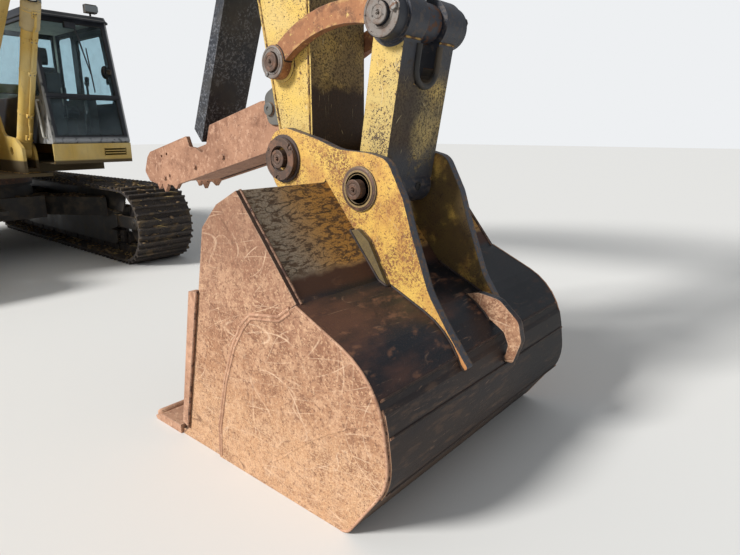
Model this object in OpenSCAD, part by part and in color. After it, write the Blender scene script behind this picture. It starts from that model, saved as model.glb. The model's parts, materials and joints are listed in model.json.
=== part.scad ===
// Crawler excavator with a plain-lipped bucket and a fixed thumb, parked with its bucket on the ground.
// X points forward to the bucket, Y to the operator's left, Z up. Lengths are in millimetres.

/* [Tracks] */
// Distance between the centre lines of the two tracks
track_gauge = 2590; // [2450:10:2800]
// Distance between the idler and sprocket centres
idler_span = 4015; // [3900:5:4100]
// Width of a track shoe
shoe_w = 700; // [600:10:760]
// Pitch of the track chain
shoe_pitch = 216; // [214:1:218]
// Number of shoes on one track
shoe_count = 48; // [47:1:49]
// Thickness of a shoe plate
shoe_t = 16; // [12:1:22]
// Height of a grouser bar above the shoe plate
grouser_h = 30; // [20:1:40]
// Height of a chain link
link_h = 104; // [90:1:115]
// Width of the track chain
chain_w = 210; // [180:5:240]
// Radius of a bottom roller
roller_r = 85; // [75:1:95]
// Number of bottom rollers on one track
roller_count = 8; // [6:1:9]
// Width of a track frame beam
beam_w = 380; // [340:5:420]

/* [Slewing] */
// Height of the slewing ring's lower face
ring_z = 950; // [930:5:990]
// Height of the slewing ring
ring_h = 95; // [80:1:120]
// Outer radius of the slewing ring
ring_r = 680; // [620:5:720]
// Radius at which the fixed and the turning ring meet
ring_gap_r = 590; // [560:5:610]

/* [Upper frame] */
// Height of the upper frame's side beams above the ground
deck_z = 1210; // [1200:5:1240]
// Height of the side beams
deck_h = 240; // [200:5:260]
// Width of the upper structure
upper_w = 2980; // [2900:10:3100]
// Radius that the tail sweeps
tail_r = 3300; // [3200:10:3500]
// Length of the counterweight from its front face to the tail
weight_l = 700; // [620:10:760]
// Height of the counterweight's underside
weight_z = 1190; // [1150:5:1250]
// Height of the counterweight
weight_h = 1040; // [950:10:1100]
// Height of the engine housing's top above the ground
housing_z = 2240; // [2150:10:2350]
// Thickness of housing panels and doors
panel_t = 22; // [16:1:30]
// Gap round a door or a lid
door_gap = 8; // [6:1:12]

/* [Cab] */
// Width of the cab
cab_w = 950; // [900:5:980]
// Height of the cab
cab_h = 1560; // [1480:10:1640]
// Place of the cab's front foot ahead of the slewing axis
cab_front = 1400; // [1350:10:1450]
// How far the windscreen leans back from foot to top
cab_rake = 330; // [250:5:400]
// Length of the cab at its foot
cab_l = 1880; // [1800:10:1900]
// Thickness of the cab's walls and door
cab_t = 46; // [40:1:60]
// Thickness of the window glass
glass_t = 6; // [5:1:8]

/* [Boom] */
// Place of the boom foot pin ahead of the slewing axis
foot_x = 150; // [100:10:200]
// Height of the boom foot pin
foot_z = 2030; // [1980:10:2080]
// Distance from the boom foot pin to the arm pin
boom_l = 6400; // [6300:10:6500]
// Width of the boom
boom_w = 500; // [490:5:520]
// Place of the boom cylinders' foot pins ahead of the slewing axis
ram_foot_x = 830; // [800:10:860]
// Height of the boom cylinders' foot pins
ram_foot_z = 1360; // [1340:10:1400]
// Distance of a boom cylinder from the machine's centre plane
ram_y = 400; // [395:1:410]

/* [Arm] */
// Distance from the arm pin to the bucket pin
arm_l = 3190; // [3100:10:3300]
// Width of the arm
arm_w = 400; // [380:2:410]
// Side clearance of the arm in the boom's fork
fork_gap = 15; // [10:1:20]
// Reach of the bucket pin ahead of the slewing axis, as parked
reach = 6450; // [6300:10:6550]

/* [Bucket] */
// Height of the bucket pin above the bucket's floor, as parked
pin_h = 1460; // [1440:5:1480]
// Place of the bucket pin behind the heel's contact with the ground
pin_back = 944; // [930:2:960]
// Distance from the bucket pin to the link pin
crank_l = 536; // [520:1:550]
// Fall of the line from the bucket pin to the link pin, in degrees
crank_a = 13.2; // [11:0.1:15]
// Width over the bucket's side plates
bucket_w = 1616; // [1500:2:1700]
// Thickness of the bucket's shell plate
shell_t = 28; // [22:1:34]
// Thickness of the bucket's side plates
side_t = 25; // [20:1:30]
// Thickness of the bucket's ears
ear_t = 50; // [44:1:56]
// Side clearance between the arm and a bucket ear
ear_gap = 15; // [12:1:18]
// Thickness of the bucket's lip plate
lip_t = 50; // [38:1:56]
// Thickness of the bucket's wear plates
wear_t = 9; // [6:1:14]

/* [Pins] */
// Radius of the bucket pin and the link pins
pin_r = 45; // [40:1:48]
// Radius of the boom foot pin and the arm pin
big_pin_r = 55; // [50:1:60]
// Radial running clearance of a pin in its bore
pin_clear = 0.06; // [0.03:0.01:0.09]
// Length of the idler link between its pins
idler_l = 724; // [715:1:735]
// Length of the bucket link between its pins
link_l = 751; // [740:1:765]
// Thickness of an idler link
idler_t = 46; // [40:1:50]
// Clearance that seats one piece on another
seat = 0.3; // [0.2:0.05:0.5]

/* [Hidden] */
$fn = 48;

yellow = "gold";
dark = "dimgray";
rust = "saddlebrown";
steel = "silver";

// Plane geometry. Points are [x, z] in a side view.
function turn(v, a) = [v[0] * cos(a) - v[1] * sin(a), v[0] * sin(a) + v[1] * cos(a)];
function ray(a) = [cos(a), sin(a)];
function unit(v) = v / norm(v);
function heading(v) = atan2(v[1], v[0]);
function cross2(a, b) = a[0] * b[1] - a[1] * b[0];
// The point at distances rp from p and rq from q, to the left of the line from p to q
function meet(p, rp, q, rq) =
    let (d = norm(q - p), u = (q - p) / d, a = (rp * rp - rq * rq + d * d) / (2 * d))
    p + a * u + sqrt(rp * rp - a * a) * [-u[1], u[0]];
// Points of an arc about c, in n steps
function arc(c, r, a0, a1, n) = [for (i = [0:n]) c + r * ray(a0 + (a1 - a0) * i / n)];
// One corner of an outline at p, rounded to radius r between its neighbours a and b
function corner(a, p, b, r, n) =
    (r <= 0 || abs(cross2(unit(a - p), unit(b - p))) < 0.01) ? [p] :
    let (
        u = unit(a - p), v = unit(b - p), half = acos(u * v) / 2,
        t = min(r / tan(half), norm(a - p) * 0.49, norm(b - p) * 0.49), rr = t * tan(half),
        c = p + unit(u + v) * rr / sin(half), a0 = heading(p + u * t - c), a1 = heading(p + v * t - c),
        sweep = (a1 - a0 + 540) % 360 - 180
    )
    arc(c, rr, a0, a0 + sweep, n);
// A closed outline from a table of [x, z, corner radius]
function rounded(t, n = 4) =
    let (k = len(t))
    [for (i = [0:k - 1]) each corner(xz(t[(i + k - 1) % k]), xz(t[i]), xz(t[(i + 1) % k]), t[i][2], n)];
// An open line from a table of [x, z, corner radius]
function bent(t, n = 4) =
    let (k = len(t))
    [for (i = [0:k - 1]) each (i == 0 || i == k - 1) ? [xz(t[i])] :
        corner(xz(t[i - 1]), xz(t[i]), xz(t[i + 1]), t[i][2], n)];
function xz(row) = [row[0], row[1]];
function left_of(a, b) = let (u = unit(b - a)) [-u[1], u[0]];
// An open line moved sideways by d to its left
function beside(p, d) =
    let (k = len(p))
    [for (i = [0:k - 1])
        let (
            m = i == 0 ? left_of(p[0], p[1]) : left_of(p[i - 1], p[i]),
            n = i == k - 1 ? left_of(p[k - 2], p[k - 1]) : left_of(p[i], p[i + 1])
        )
        p[i] + d * (m + n) / (1 + m * n)];
// A closed band between an open line and its copy d to the left
function band(p, d) = concat(p, [for (i = [len(p) - 1:-1:0]) beside(p, d)[i]]);

// Linkage as parked
foot = [foot_x, foot_z];
bucket_pin = [reach, pin_h];
arm_pin = meet(foot, boom_l, bucket_pin, arm_l);
boom_a = heading(arm_pin - foot);
arm_a = heading(bucket_pin - arm_pin);
link_pin = bucket_pin + crank_l * ray(-crank_a);
idler_back = 481;
idler_pin_at = [arm_l - idler_back, 5];
idler_pin = on_arm(idler_pin_at);
rod_pin = meet(idler_pin, idler_l, link_pin, link_l);
ram_foot = [ram_foot_x, ram_foot_z];
ram_head_at = [2695, 928];
ram_head = on_boom(ram_head_at);
arm_ram_foot_at = [3350, 1530];
arm_ram_foot = on_boom(arm_ram_foot_at);
arm_ram_head_at = 980 * ray(157);
arm_ram_head = on_arm(arm_ram_head_at);
bucket_ram_foot_at = [450, 720];
bucket_ram_foot = on_arm(bucket_ram_foot_at);
heel = [reach + pin_back, 0];
function on_boom(v) = foot + turn(v, boom_a);
function on_arm(v) = arm_pin + turn(v, arm_a);

// Cylinders: [barrel radius, rod radius, pin radius, eye radius, eye width, barrel length, rod length]
boom_ram = [85, 50, 50, 95, 110, 1800, 1880];
arm_ram = [92, 55, 50, 100, 130, 2200, 2400];
bucket_ram = [82, 48, pin_r, 88, 130, 1400, 1470];

// Undercarriage
turn_steps = 12;
flat = cos(90 / turn_steps);
chain_r = (shoe_count * shoe_pitch - 2 * idler_span) / (2 * PI);
shoe_in = link_h / 2;
half_span = idler_span / 2;
arc_l = PI * chain_r;
shoe_gap = 6;
bar_t = 20;
bar_slope = 8;
bar_foot = 8;
// Place and heading of the chain at the length s from the middle of the ground run
function chain_at(s) =
    s < half_span ? [[s, -chain_r], 0] :
    s < half_span + arc_l ? let (a = (s - half_span) / chain_r * 180 / PI)
        [[half_span, 0] + chain_r * ray(a - 90), a] :
    s < 3 * half_span + arc_l ? [[2 * half_span + arc_l - s, chain_r], 180] :
    s < 3 * half_span + 2 * arc_l ? let (a = 180 + (s - 3 * half_span - arc_l) / chain_r * 180 / PI)
        [[-half_span, 0] + chain_r * ray(a - 90), a] :
    [[s - 4 * half_span - 2 * arc_l, -chain_r], 360];
shoe_half = (shoe_pitch - shoe_gap) / 2;
plate_top = shoe_in + shoe_t;
bar_top = plate_top + grouser_h;
// Section of a shoe with three bars: [place along the shoe, height over the chain]
shoe_section = [
    [-shoe_half, shoe_in], [-shoe_half, bar_top], [-shoe_half + bar_t, bar_top],
    [-shoe_half + bar_t + bar_slope, plate_top], [-bar_t / 2 - bar_slope, plate_top],
    [-bar_t / 2, bar_top], [bar_t / 2, bar_top], [bar_t / 2 + bar_slope, plate_top],
    [shoe_half - bar_t - bar_slope, plate_top], [shoe_half - bar_t, bar_top],
    [shoe_half, bar_top], [shoe_half, shoe_in]
];
track_outline = [for (i = [0:shoe_count - 1]) let (c = chain_at(i * shoe_pitch))
    for (p = shoe_section) c[0] + p[0] * ray(c[1]) + p[1] * ray(c[1] - 90)];
axle_z = -min([for (p = track_outline) p[1]]);
rail_z = axle_z - chain_r + link_h / 2;
wheel_r = chain_r - link_h / 2;
beam_z = rail_z + 2 * roller_r + 20;
beam_top = 620;
beam_rear = half_span - 430;
beam_front = half_span - 420;
yoke_w = 34;

// Upper structure
weight_x = tail_r - weight_l;
half_w = upper_w / 2;
frame_z = ring_z + ring_h + 15;
deck_t = 16;
girder_y = boom_w / 2 + 12;
girder_t = 34;
cab_z = deck_z + deck_h;
cab_y = half_w - cab_w;
cab_rear = cab_front - cab_l;
housing_front = cab_rear - 50;
tank_front = 430;
toolbox_front = cab_front - 20;
hood_x = [-weight_x + 120, -weight_x + 1200];
hood_w = 1500;
side_door_x = [-weight_x + 100, -weight_x + 1040];
tank_gap = 10;
tank_x = [side_door_x[1] + 70, -560];
side_door_z = [1510, 2150];
side_hinge_z = [1600, 1960];

mouth_x = -1240;
// Bucket shell, seen from the side with the heel's contact point as its origin: [x, z, corner radius]
shell_line = [
    [mouth_x, 0, 0], [-14, 0, 70], [205, 320, 260], [150, 730, 520], [-281, 926, 0], [-637, 1358, 0]
];
shell_path = bent(shell_line, 6);
// Lifting eye on the back of the shell, bowed over a hole against the shell
eye_line = [
    [-90, 805, 0], [30, 838, 60], [143, 822, 70], [247, 733, 60], [268, 640, 40], [232, 524, 14], [150, 520, 0],
    [150, 545, 0], [190, 548, 12], [203, 608, 30], [176, 668, 30], [113, 708, 40], [40, 742, 30], [0, 715, 0]
];
eye_outline = rounded(eye_line);

// The row's origin lies under the middle of the whole machine
front_x = heel[0] + max([for (p = concat(shell_path, eye_outline)) p[0]]);
frame_x = (tail_r - front_x) / 2;

// Placing
module in_row() translate([frame_x, 0, 0]) children();
module slab(y0, y1) translate([0, y1, 0]) rotate([90, 0, 0]) linear_extrude(y1 - y0) children();
module both_sides() {
    children();
    mirror([0, 1, 0]) children();
}
module block(x, y, z) translate([x[0], y[0], z[0]]) cube([x[1] - x[0], y[1] - y[0], z[1] - z[0]]);
module peg(p, r, y0, y1) translate([p[0], y0, p[1]]) rotate([-90, 0, 0]) cylinder(r = r, h = y1 - y0);
module rod_x(x0, x1, y, z, r) translate([x0, y, z]) rotate([0, 90, 0]) cylinder(r = r, h = x1 - x0);
module post(x, y, z0, z1, r) translate([x, y, z0]) cylinder(r = r, h = z1 - z0);
module on(p, a) translate([p[0], 0, p[1]]) rotate([0, -a, 0]) children();
module boom_place() in_row() on(foot, boom_a) children();
module arm_place() in_row() on(arm_pin, arm_a) children();
module heel_place() in_row() translate([heel[0], 0, heel[1]]) children();
module hole(p, r, w) peg(p, r + pin_clear, -w, w);

// Cylinders
cut = 1;
foot_wall = 145;
gland_l = 130;
module barrel(ram) {
    difference() {
        union() {
            peg([0, 0], ram[3], -ram[4] / 2, ram[4] / 2);
            block([0, foot_wall], [-ram[4] / 2 + 2, ram[4] / 2 - 2], [-ram[0] + 12, ram[0] - 12]);
            rod_x(foot_wall, ram[5] - gland_l, 0, 0, ram[0]);
            rod_x(ram[5] - gland_l, ram[5], 0, 0, ram[0] + 10);
        }
        rod_x(foot_wall + 25, ram[5] + cut, 0, 0, ram[1] + cut);
        hole([0, 0], ram[2], ram[4]);
    }
}
module rod(ram, l, pin_half) {
    union() {
        rod_x(l - ram[6], l - ram[3] * 0.7, 0, 0, ram[1]);
        peg([l, 0], ram[3], -ram[4] / 2, ram[4] / 2);
        peg([l, 0], ram[2], -pin_half, pin_half);
    }
}

// Undercarriage pieces
module stadium(r) {
    polygon(concat(arc([half_span, 0], r, -90, 90, turn_steps), arc([-half_span, 0], r, 90, 270, turn_steps)));
}
module track() {
    translate([0, 0, axle_z]) {
        slab(-shoe_w / 2, shoe_w / 2) difference() {
            polygon(track_outline);
            stadium(chain_r + shoe_in - 6);
        }
        slab(-chain_w / 2, chain_w / 2) difference() {
            stadium(chain_r + shoe_in - 3);
            stadium(wheel_r);
        }
    }
}
module track_left() color(dark) in_row() translate([0, track_gauge / 2, 0]) track();
module track_right() color(dark) in_row() translate([0, -track_gauge / 2, 0]) track();

beam_side = [
    [-beam_rear, beam_z, 40], [beam_front - 200, beam_z, 60], [beam_front, beam_z + 60, 30],
    [beam_front, beam_top - 40, 30], [beam_front - 300, beam_top, 60], [-beam_rear + 200, beam_top, 60],
    [-beam_rear, beam_top - 50, 40]
];
yoke_z = 75;
drive_wall = [beam_w / 2 - 70, beam_w / 2];
step_x = [-330, 330];
step_out = 120;
module track_frame() {
    slab(-beam_w / 2, beam_w / 2) polygon(rounded(beam_side));
    for (x = step_x) {
        block([x - 120, x + 120], [beam_w / 2 - cut, beam_w / 2 + step_out], [beam_top - 64, beam_top - 50]);
        for (s = [x - 100, x + 90]) block([s, s + 10], [beam_w / 2 - cut, beam_w / 2 + 90], [beam_top - 150, beam_top - 60]);
    }
    for (y = [-beam_w / 2 + 20, beam_w / 2 - 20 - yoke_w])
        block([beam_front - 150, half_span + 90], [y, y + yoke_w], [axle_z - yoke_z, axle_z + yoke_z]);
    difference() {
        union() {
            block([-half_span, -beam_rear + 100], [-drive_wall[1], -drive_wall[0]], [axle_z - 130, axle_z + 130]);
            peg([-half_span, axle_z], 235, -drive_wall[1], -drive_wall[0]);
        }
        hole([-half_span, axle_z], 120, beam_w);
    }
}
module track_frames() color(dark) in_row() both_sides() translate([0, track_gauge / 2, 0]) track_frame();

tooth_count = 21;
module sprocket() {
    translate([-half_span, 0, axle_z]) {
        difference() {
            peg([0, 0], wheel_r * flat - 2, -32, 32);
            for (i = [0:tooth_count - 1]) peg((wheel_r + 12) * ray(i * 360 / tooth_count), 30, -40, 40);
        }
        peg([0, 0], 225, 32, 130);
        peg([0, 0], 190, 130, 185);
        peg([0, 0], 119.7, -beam_w / 2 - 60, -32);
    }
}

idler_w = 150;
module idler() {
    translate([half_span, 0, axle_z]) {
        peg([0, 0], wheel_r * flat - seat, -idler_w / 2, idler_w / 2);
        peg([0, 0], 80, -beam_w / 2 + 20 + yoke_w + seat, beam_w / 2 - 20 - yoke_w - seat);
    }
}
rim_w = 62;
module bottom_roller(x) {
    z = rail_z + roller_r + seat;
    translate([x, 0, z]) {
        both_sides() peg([0, 0], roller_r, 30, 30 + rim_w);
        peg([0, 0], roller_r - 15, -35, 35);
        peg([0, 0], 34, -150, 150);
        both_sides() block([-45, 45], [112, 150], [-40, beam_z - z - seat]);
    }
}
carrier_r = 68;
module carrier_roller(x) {
    z = axle_z + wheel_r - carrier_r - seat;
    translate([x, 0, z]) {
        peg([0, 0], carrier_r, -95, 95);
        peg([0, 0], 28, 90, 150);
        block([-60, 60], [118, 150], [beam_top - z + seat, 30]);
    }
}
roller_step = (idler_span - 860) / (roller_count - 1);
module track_wheels() {
    color(dark) in_row() both_sides() translate([0, track_gauge / 2, 0]) {
        sprocket();
        idler();
        for (i = [0:roller_count - 1]) bottom_roller(-half_span + 450 + i * roller_step);
        for (x = [-620, 620]) carrier_roller(x);
    }
}

beam_in_y = track_gauge / 2 - beam_w / 2;
leg_plan = [
    [-480, 560, 60], [-1350, beam_in_y - seat, 0], [-620, beam_in_y - seat, 0], [0, 760, 300],
    [620, beam_in_y - seat, 0], [1350, beam_in_y - seat, 0], [480, 560, 60]
];
body_z = [500, 780];
tow_hole_r = 35;
tow_x = 900;
tow_z = [605, 655];
tow_half = 80;
module car_body() {
    color(dark) in_row() difference() {
        union() {
            block([-ring_r - 20, ring_r + 20], [-600, 600], body_z);
            both_sides() translate([0, 0, body_z[0] + 20]) linear_extrude(body_z[1] - body_z[0] - 40)
                polygon(rounded(leg_plan));
            translate([0, 0, body_z[1] - 10]) cylinder(r1 = 690, r2 = 650, h = ring_z - body_z[1] - 20);
            translate([0, 0, ring_z - 30]) cylinder(r = ring_r, h = 30 - seat);
            block([-tow_x - tow_half, tow_x + tow_half], [-tow_half, tow_half], tow_z);
            for (y = [-tow_half, tow_half - 24]) slab(y, y + 24) polygon([[-ring_r - 90, tow_z[1] - cut],
                [-ring_r, body_z[1] - 40], [ring_r, body_z[1] - 40], [ring_r + 90, tow_z[1] - cut]]);
        }
        for (x = [-tow_x, tow_x]) post(x, 0, tow_z[0] - cut, tow_z[1] + cut, tow_hole_r);
    }
}
module slew_ring() {
    color(steel) in_row() translate([0, 0, ring_z]) difference() {
        cylinder(r = ring_r, h = ring_h, $fn = 96);
        translate([0, 0, -cut]) cylinder(r = ring_gap_r, h = ring_h + 2 * cut, $fn = 96);
    }
}

// Upper frame
girder_top = 1420;
girder_side = [
    [-weight_x, frame_z, 0], [1180, frame_z, 60], [1180, ram_foot_z + 40, 60], [1000, ram_foot_z + 150, 120],
    [620, ram_foot_z + 190, 120], [foot_x + 230, foot_z + 60, 150], [foot_x + 40, foot_z + 215, 140],
    [foot_x - 170, foot_z + 150, 120], [foot_x - 650, 1560, 300], [-weight_x / 2, girder_top, 200], [-weight_x, girder_top, 0]
];
lug_t = 34;
ram_eye = boom_ram[4] / 2 + 8;
lug_side = [[640, frame_z + 40, 0], [990, frame_z + 40, 60], [ram_foot_x + 130, ram_foot_z + 20, 90],
    [ram_foot_x + 10, ram_foot_z + 125, 90], [ram_foot_x - 125, ram_foot_z + 30, 90]];
vent = [[1140, 1420], [deck_z + 90, deck_z + 180]];
cross_x = [-weight_x + 300, -weight_x + 1100, -700, 560];
module deck_wing(y0, y1, x1) {
    block([-weight_x, 600], [girder_y + girder_t - cut, y0], [deck_z, deck_z + deck_t]);
    block([-weight_x, x1], [y0 - cut, y1], [deck_z, deck_z + deck_t]);
    block([-weight_x, x1], [y1 - 22, y1], [deck_z, cab_z - seat]);
    block([x1 - 25, x1], [y0, y1], [deck_z, cab_z - seat]);
}
module revolving_frame() {
    color(yellow) in_row() difference() {
        union() {
            block([-weight_x, 1200], [-560, 560], [frame_z, frame_z + 40]);
            translate([0, 0, ring_z + 5]) cylinder(r = ring_gap_r - seat, h = frame_z - ring_z, $fn = 96);
            both_sides() {
                slab(girder_y, girder_y + girder_t) polygon(rounded(girder_side));
                peg(foot, 150, girder_y - 2, girder_y + girder_t + 20);
                slab(ram_y + ram_eye, ram_y + ram_eye + lug_t) polygon(rounded(lug_side));
                block([640, 990], [girder_y, ram_y + ram_eye + lug_t], [frame_z + 20, frame_z + 90]);
                slab(girder_y + 10, ram_y - ram_eye) polygon(rounded(lug_side));
                for (x = cross_x) block([x, x + 30], [girder_y, half_w - 10], [frame_z + 20, deck_z + cut]);
            }
            deck_wing(ram_y + 130, half_w, cab_front);
            mirror([0, 1, 0]) deck_wing(ram_y + 130, half_w, toolbox_front);
        }
        hole(foot, big_pin_r, boom_w);
        hole(ram_foot, boom_ram[2], boom_w);
        for (i = [0:2]) block([cab_front - 60, cab_front + 60], vent[0],
                [vent[1][0] + i * 32, vent[1][0] + i * 32 + 20]);
    }
}
foot_pin_out = 35;
module upper_pins() {
    color(steel) in_row() {
        peg(foot, big_pin_r, -girder_y - girder_t - foot_pin_out, girder_y + girder_t + foot_pin_out);
        both_sides() peg(ram_foot, boom_ram[2], girder_y + girder_t + 5, ram_y + ram_eye + lug_t + 18);
    }
}

// Counterweight: profile turned about the slewing axis
weight_top = weight_z + weight_h;
weight_profile = [
    [weight_x - 300, weight_z], [tail_r - 260, weight_z], [tail_r - 60, weight_z + 170], [tail_r, weight_z + 330],
    [tail_r, weight_top - 120], [tail_r - 30, weight_top - 40], [tail_r - 110, weight_top],
    [weight_x - 300, weight_top]
];
lift_r = 26;
lift_at = [weight_x + 200, 900];
module counterweight() {
    color(yellow) in_row() difference() {
        intersection() {
            rotate([0, 0, 180]) rotate_extrude($fn = 96) polygon(weight_profile);
            block([-tail_r - 10, -weight_x - seat], [-half_w, half_w], [weight_z - 10, weight_top + 10]);
        }
        both_sides() post(-lift_at[0], lift_at[1], weight_top - 90, weight_top + 5, lift_r);
        block([-weight_x - 250, -weight_x + 5], [-310, 310], [weight_z - 5, weight_z + 160]);
    }
}

// Hinges of doors and lids, about the local Z axis. The strap turns, the base with its pin is fixed.
hinge_pin_r = 8;
hinge_r = 15;
hinge_l = 70;
hinge_out = 17;
hinge_reach = 50;
module hinge_flap(s, z, deep) block(s > 0 ? [0, hinge_reach] : [-hinge_reach, 0], [-deep, 0], z);
module hinge_strap(s, deep = hinge_out + cut) {
    difference() {
        union() {
            cylinder(r = hinge_r, h = hinge_l);
            hinge_flap(s, [0, hinge_l], deep);
        }
        translate([0, 0, -cut]) cylinder(r = hinge_pin_r + pin_clear, h = hinge_l + 2 * cut);
    }
}
module hinge_base(s) {
    translate([0, 0, -30]) cylinder(r = hinge_pin_r, h = hinge_l + 60);
    for (z = [-30, hinge_l + 6]) translate([0, 0, z]) {
        cylinder(r = hinge_r, h = 24);
        hinge_flap(s, [0, 24], hinge_out + cut);
    }
}

// Engine bay
engine_x = [-weight_x + 250, -weight_x + 950];
engine_y = [-half_w + 930, half_w - 850];
engine_top = housing_z - 180;
module engine_block() {
    color(dark) in_row() block(engine_x, engine_y, [girder_top + seat, engine_top]);
}
housing_plan = [
    [-weight_x + seat, -half_w], [side_door_x[1] + 40, -half_w], [side_door_x[1] + 40, -girder_y - 110],
    [side_door_x[1] + 40, girder_y + 110], [housing_front, girder_y + 110], [housing_front, half_w],
    [-weight_x + seat, half_w]
];
slot_count = 6;
slot_x = side_door_x[1] + 160;
slot_step = (housing_front - slot_x - 150) / slot_count;
module housing_body(z0, z1) translate([0, 0, z0]) linear_extrude(z1 - z0) polygon(housing_plan);
module engine_housing() {
    x0 = -weight_x + seat;
    x1 = side_door_x[1] + 40;
    y1 = girder_y + 110;
    color(yellow) in_row() difference() {
        housing_body(cab_z, housing_z);
        block([x0 + panel_t, x1 - panel_t], [-half_w + panel_t, half_w - panel_t], [cab_z - cut, housing_z - panel_t]);
        block([x1 - panel_t - cut, housing_front - panel_t], [y1 + panel_t, half_w - panel_t], [cab_z - cut, housing_z - panel_t]);
        block(side_door_x, [-half_w - cut, -half_w + panel_t + cut], side_door_z);
        block(side_door_x, [half_w - panel_t - cut, half_w + cut], side_door_z);
        block(hood_x, [-hood_w / 2, hood_w / 2], [housing_z - panel_t - cut, housing_z + cut]);
        for (i = [0:slot_count - 1]) block([slot_x + i * slot_step, slot_x + (i + 0.5) * slot_step],
            [half_w - panel_t - cut, half_w + cut], [1750, 2120]);
    }
    color(yellow) in_row() {
        both_sides() side_door_base();
        for (y = hood_hinge_y) translate([hood_hinge_x, y, housing_z + hinge_out]) rotate([90, 0, 0]) hinge_base(1);
    }
}
module leaf(x, z, y, louvres) {
    difference() {
        block(x + [door_gap, -door_gap], [y - panel_t, y], z + [door_gap, -door_gap]);
        for (i = [0:louvres - 1]) block([x[0] + 120, x[1] - 120], [y - panel_t - cut, y + cut],
            [z[0] + 90 + i * 60, z[0] + 116 + i * 60]);
    }
}
module side_door(louvres) {
    leaf(side_door_x, side_door_z, half_w, louvres);
    for (z = side_hinge_z) translate([side_door_x[1], half_w + hinge_out, z]) hinge_strap(-1);
}
module side_door_base() for (z = side_hinge_z) translate([side_door_x[1], half_w + hinge_out, z]) hinge_base(1);
module radiator_door() color(yellow) in_row() side_door(8);
module pump_door() color(yellow) in_row() mirror([0, 1, 0]) side_door(5);
hood_rise = 40;
hood_hinge_y = [-450, 520];
hood_hinge_x = hood_x[1] + 15;
module engine_hood() {
    color(yellow) in_row() {
        difference() {
            block(hood_x + [door_gap, -door_gap], [-hood_w / 2 + door_gap, hood_w / 2 - door_gap],
                [housing_z - panel_t, housing_z + hood_rise]);
            block(hood_x + [30, -30], [-hood_w / 2 + 30, hood_w / 2 - 30], [housing_z - panel_t - cut, housing_z + hood_rise - 20]);
        }
        for (y = hood_hinge_y) translate([hood_hinge_x, y, housing_z + hinge_out]) rotate([90, 0, 0])
            hinge_strap(-1, hinge_out - 5);
    }
}
exhaust_at = [-weight_x + 400, -950];
exhaust_h = 420;
// The pipe's end is cut off aslant
module exhaust() {
    color(rust) in_row() difference() {
        union() {
            post(exhaust_at[0], exhaust_at[1], housing_z + seat, housing_z + 60, 90);
            post(exhaust_at[0], exhaust_at[1], housing_z + 50, housing_z + exhaust_h, 55);
        }
        post(exhaust_at[0], exhaust_at[1], housing_z + 100, housing_z + exhaust_h + 10, 48);
        translate([exhaust_at[0] - 100, exhaust_at[1] - 100, housing_z + exhaust_h - 60])
            rotate([0, -30, 0]) cube([300, 200, 200]);
    }
}

// Tanks and tool box on the right side
tank_top = 2140;
tank_in = -girder_y - girder_t - 50;
box_top = 1760;
tank_section = [[-half_w, cab_z, 0], [tank_in, cab_z, 0], [tank_in, tank_top, 70], [-half_w, tank_top, 90]];
module run_x(x) translate([x[0], 0, 0]) rotate([90, 0, 90]) linear_extrude(x[1] - x[0]) children();
module tanks() {
    color(yellow) in_row() {
        run_x(tank_x) polygon(rounded(tank_section));
        run_x([tank_x[1] + tank_gap, tank_front]) polygon(rounded(tank_section));
        run_x([tank_front + tank_gap, toolbox_front]) polygon(rounded([
            [-half_w, cab_z, 0], [-620, cab_z, 0], [-620, box_top, 40], [-half_w, box_top, 60]]));
        for (x = [tank_x[0] + 470, tank_x[1] + 500]) post(x, -900, tank_top - cut, tank_top + 35, 75);
    }
}

// Cab, in side view
cab_top = cab_z + cab_h;
roof_h = 70;
cab_side = [
    [cab_rear, cab_z, 30], [cab_front, cab_z, 30], [cab_front - cab_rake, cab_top - roof_h, 0],
    [cab_rear, cab_top - roof_h, 0]
];
function rake_x(z) = cab_front - cab_rake * (z - cab_z) / cab_h;
sill_z = cab_z + 70;
split_z = cab_z + 560;
head_z = cab_top - roof_h - 60;
cab_in_y = [cab_y + cab_t, half_w - cab_t];
door_rear = cab_rear + 640;
door_side = [
    [door_rear, sill_z, 30], [rake_x(sill_z) - 75, sill_z, 30], [rake_x(head_z) - 75, head_z, 50],
    [door_rear, head_z, 50]
];
side_window = [[cab_rear + 90, split_z, 40], [rake_x(split_z) - 90, split_z, 40],
    [rake_x(head_z) - 90, head_z, 60], [cab_rear + 90, head_z, 60]];
rear_side_window = [[cab_rear + 90, split_z, 40], [door_rear - 70, split_z, 40],
    [door_rear - 70, head_z, 60], [cab_rear + 90, head_z, 60]];
module front_cut(z0, z1) {
    slab(cab_in_y[0] + 20, cab_in_y[1] - 20) polygon([[rake_x(z0) - 120, z0], [rake_x(z0) + 100, z0],
        [rake_x(z1) + 100, z1], [rake_x(z1) - 120, z1]]);
}
module cab_shell() {
    color("dimgray") in_row() difference() {
        slab(cab_y, half_w) polygon(rounded(cab_side));
        slab(cab_in_y[0], cab_in_y[1]) polygon([
            [cab_rear + cab_t, cab_z + 40], [rake_x(cab_z + 40) - cab_t, cab_z + 40],
            [rake_x(cab_top) - cab_t, cab_top], [cab_rear + cab_t, cab_top]]);
        slab(cab_in_y[1] - cut, half_w + cut) polygon(rounded(door_side));
        slab(cab_in_y[1] - cut, half_w + cut) polygon(rounded(rear_side_window));
        slab(cab_y - cut, cab_in_y[0] + cut) polygon(rounded(side_window));
        front_cut(sill_z + 20, split_z - 25);
        front_cut(split_z + 25, head_z);
        block([cab_rear - cut, cab_rear + cab_t + cut], [cab_in_y[0] + 40, cab_in_y[1] - 40], [split_z + 100, head_z]);
    }
    color("dimgray") in_row() for (z = hinge_zs) translate([hinge_x, half_w + hinge_out, z]) hinge_base(-1);
}
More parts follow.
